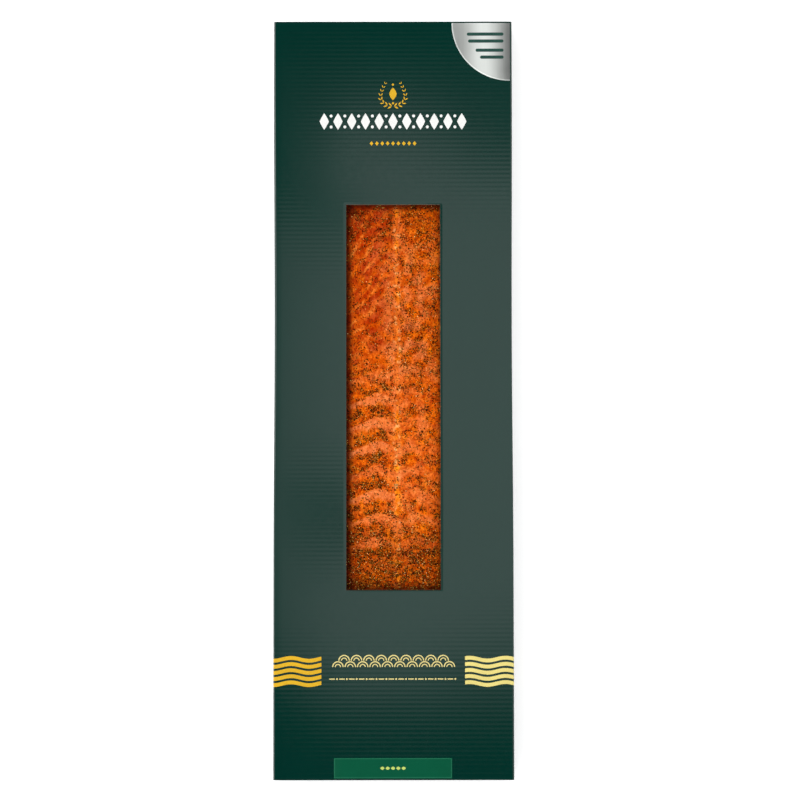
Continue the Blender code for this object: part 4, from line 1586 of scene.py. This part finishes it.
class SALMONBOX_OT_strew_herbs(bpy.types.Operator):
    """Strew dried dill, leaf flakes, crumbs and pale grains over the fish"""

    bl_idname = "salmonbox.strew_herbs"
    bl_label = "Strew herbs"

    def execute(self, context):
        herbs = context.scene.salmon_herbs
        draw = random.Random(herbs.seed_number)
        tree, bed = strew_tree(), herb_bed()
        dried = herb_material("herbs", herbs.dark, herbs.brown, herbs.olive)
        pale = herb_material("pale_grains", tuple(0.6 * c for c in herbs.grain), herbs.grain, herbs.salt)
        crumb, leaf, strand, grain = crumb_shape(draw), leaf_shape(draw), strand_shape(), seed_shape()

        # Piece, flake, material, number to the square decimetre, then least distance in millimetres,
        # smallest and largest size, tilt, and lift off the flesh in millimetres
        kinds = (
            ("herb_crumbs", crumb, dried, herbs.crumbs, 0.40, 0.55, 1.30, 0.50, 0.05),
            ("herb_leaves", leaf, dried, herbs.leaves, 0.90, 0.45, 0.95, 0.35, 0.10),
            ("dill_strands", strand, dried, herbs.strands, 1.50, 0.50, 1.10, 0.15, 0.12),
            ("pale_grains", grain, pale, herbs.seeds, 0.90, 0.45, 1.15, 0.40, 0.12),
        )
        for order, (name, flake, material, number, apart, smallest, largest, tilt, lift) in enumerate(kinds):
            mesh = grown(name, tree, {
                "Flake": flake, "Material": material, "Amount": number * DECIMETRES, "Apart": apart * MM,
                "Seed": herbs.seed_number + 10 * order, "Smallest": smallest, "Largest": largest,
                "Tilt": tilt, "Lift": lift * MM,
            }, bed.copy())
            mesh.name = name
            settle(placed(name, mesh), "herbs", "fillet")
            bpy.data.objects.remove(flake)
        return {"FINISHED"}


# Film

class SALMONBOX_OT_draw_film(bpy.types.Operator):
    """Draw the clear film tight over the fish"""

    bl_idname = "salmonbox.draw_film"
    bl_label = "Draw film"

    def execute(self, context):
        film = context.scene.salmon_film
        rows = np.arange(-0.172, 0.174, 1.3 * MM)
        shares = np.linspace(-0.74, 0.74, 86)
        x = shares[None, :] * fish_half_width(rows)[:, None]
        y = np.broadcast_to(rows[:, None], x.shape)
        z = FISH_FLOOR + fish_top(x, y, 0.5) + film.clearance
        z = z + film.wrinkle * (noise_over(x, y, 0.010, 31.0) + 0.5 * noise_over(x, y, 0.004, 32.0))

        # Its edge dips into the flesh, out of sight under the board
        edge = np.maximum(evened(np.abs(shares)[None, :], 0.68, 0.74), evened(np.abs(y), 0.164, 0.172))
        top = np.stack([x, y, z - edge * (film.clearance + 0.3 * MM)], axis=-1)
        points, faces = closed_sheet(top, top - np.array([0.0, 0.0, film.thickness]))
        piece = mesh_object("clear_film", points, faces, film_material(), None, math.pi)
        settle(piece, "clear_film", "fillet")
        return {"FINISHED"}


# Stage

def softbox(name, watts, size, place, target):
    """A soft rectangular light, turned towards a point."""
    light = bpy.data.lights.new(name, "AREA")
    light.shape = "RECTANGLE"
    light.size, light.size_y = size
    light.energy = watts
    made = placed(name, light)
    made.location = place
    made.rotation_euler = (Vector(target) - Vector(place)).to_track_quat("-Z", "Y").to_euler()


def tent(stage):
    """A white tent: a dim skirt, a bright ring, and overhead a soft panel that the glossy board mirrors."""
    world = bpy.data.worlds.new("tent")
    world.use_nodes = True
    tree = world.node_tree
    sky = add_node(tree, "ShaderNodeTexCoord").outputs["Generated"]
    x, y, z = add_node(tree, "ShaderNodeSeparateXYZ", {0: sky}).outputs
    upward = maths(tree, "MAXIMUM", z, 0.2)
    across, along = maths(tree, "DIVIDE", x, upward), maths(tree, "DIVIDE", y, upward)
    place = add_node(tree, "ShaderNodeCombineXYZ", {0: across, 1: along}).outputs[0]

    # The skirt and the ring, brighter on the left, by the height of the sky
    ring = times(tree, stepped(tree, z, 0.40, 0.55), stepped(tree, z, 0.84, 0.90, 1.0, 0.0))
    ring = times(tree, ring, plus(tree, times(tree, x, -0.30), 1.0))
    skirt = stepped(tree, z, 0.40, 0.55, stage.skirt, 0.0)

    # The panel, by slopes from straight up: its far edge bends down at both corners
    corner_left = stepped(tree, across, -0.038, -0.0245, 0.046, 0.0)
    corner_right = stepped(tree, across, 0.0, 0.034, 0.0, 0.024)
    far = plus(tree, along, plus(tree, corner_left, corner_right))
    bright = stepped(tree, far, 0.161, 0.189, 0.86, 0.0)
    halo = stepped(tree, along, 0.185, 0.215, 0.14, 0.0)
    begins = stepped(tree, across, -0.040, -0.0225, -0.086, -0.112)
    full = stepped(tree, across, 0.0, 0.036, -0.066, -0.040)
    panel = times(tree, plus(tree, bright, halo), stepped(tree, along, begins, full))

    # Two dim spots where the board is slack, then the panel's left and right sides
    for spot, reach, least in (((-0.026, -0.004, 0.0), 0.030, 0.15), ((-0.026, 0.128, 0.0), 0.026, 0.30)):
        away = add_node(tree, "ShaderNodeVectorMath", {0: place, 1: spot}, operation="DISTANCE")
        panel = times(tree, panel, stepped(tree, away.outputs["Value"], 0.0, reach, least, 1.0))
    for low, high, to_low, to_high in (
        (-0.046, -0.020, 0.66, 1.0), (-0.080, -0.044, 0.45, 1.0), (0.25, 0.45, 1.0, 0.0),
    ):
        panel = times(tree, panel, stepped(tree, across, low, high, to_low, to_high))

    lit = plus(tree, times(tree, ring, stage.ring), skirt, times(tree, panel, stage.panel))
    seen = add_node(tree, "ShaderNodeLightPath").outputs["Is Camera Ray"]
    fill(tree, tree.nodes["Background"], {
        "Color": (1.0, 1.0, 1.0), "Strength": mixed(tree, seen, lit, stage.backdrop),
    })
    return world


class SALMONBOX_OT_set_stage(bpy.types.Operator):
    """Set the pale floor, the soft lights and the camera"""

    bl_idname = "salmonbox.set_stage"
    bl_label = "Set stage"

    def execute(self, context):
        stage = context.scene.salmon_stage
        material, tree, shader = fresh_material("pale_floor")
        feed(tree, shader, Base_Color=stage.floor, Roughness=0.9, Specular_IOR_Level=0.1)
        feed(tree, shader, Emission_Color=(1.0, 1.0, 1.0), Emission_Strength=stage.glow)
        reach = stage.floor_reach
        corners = [(x * reach, y * reach, 0.0) for x, y in ((-1, -1), (1, -1), (1, 1), (-1, 1))]
        mesh = new_mesh("floor", corners, [(0, 1, 2, 3)])
        mesh.materials.append(material)
        floor = placed("floor", mesh)

        front = Vector((stage.aim_x, stage.aim_y, FRONT_Z))
        back = Vector((0.0, -math.sin(stage.tilt), math.cos(stage.tilt)))
        camera = bpy.data.cameras.new("camera")
        camera.lens, camera.sensor_width = stage.lens, 36.0
        camera.clip_start, camera.clip_end = 0.05, 30.0
        eye = placed("camera", camera)
        eye.location = front + back * stage.distance
        eye.rotation_euler = (stage.tilt, 0.0, stage.roll)
        context.scene.camera = eye

        softbox("key", stage.key, (0.5, 0.7), (-0.80, 0.30, 1.30), (0.0, 0.05, 0.0))
        context.scene.world = tent(stage)
        context.scene.view_settings.view_transform = "Standard"
        return {"FINISHED"}


STEPS = (
    SALMONBOX_OT_fold_carton,
    SALMONBOX_OT_print_front,
    SALMONBOX_OT_stick_labels,
    SALMONBOX_OT_lay_fish,
    SALMONBOX_OT_strew_herbs,
    SALMONBOX_OT_draw_film,
    SALMONBOX_OT_set_stage,
)
SETTINGS = {
    "salmon_board": BoardSettings,
    "salmon_print": PrintSettings,
    "salmon_labels": LabelSettings,
    "salmon_fish": FishSettings,
    "salmon_herbs": HerbSettings,
    "salmon_film": FilmSettings,
    "salmon_stage": StageSettings,
}


class SALMONBOX_PT_steps(bpy.types.Panel):
    """Lists the steps and the settings of each part"""

    bl_idname = "SALMONBOX_PT_steps"
    bl_label = "Salmon box"
    bl_space_type = "VIEW_3D"
    bl_region_type = "UI"
    bl_category = "Salmon box"

    def draw(self, context):
        for step in STEPS:
            self.layout.operator(step.bl_idname)
        for name, group in SETTINGS.items():
            box = self.layout.box()
            settings = getattr(context.scene, name)
            for label in group.__annotations__:
                box.prop(settings, label)


def register():
    for group in SETTINGS.values():
        bpy.utils.register_class(group)
    for name, group in SETTINGS.items():
        setattr(bpy.types.Scene, name, PointerProperty(type=group))
    for step in STEPS:
        bpy.utils.register_class(step)
    bpy.utils.register_class(SALMONBOX_PT_steps)


def unregister():
    bpy.utils.unregister_class(SALMONBOX_PT_steps)
    for step in reversed(STEPS):
        bpy.utils.unregister_class(step)
    for name in SETTINGS:
        delattr(bpy.types.Scene, name)
    for group in SETTINGS.values():
        bpy.utils.unregister_class(group)


def main():
    register()
    for step in STEPS:
        space, name = step.bl_idname.split(".")
        getattr(getattr(bpy.ops, space), name)()


if __name__ == "__main__":
    main()
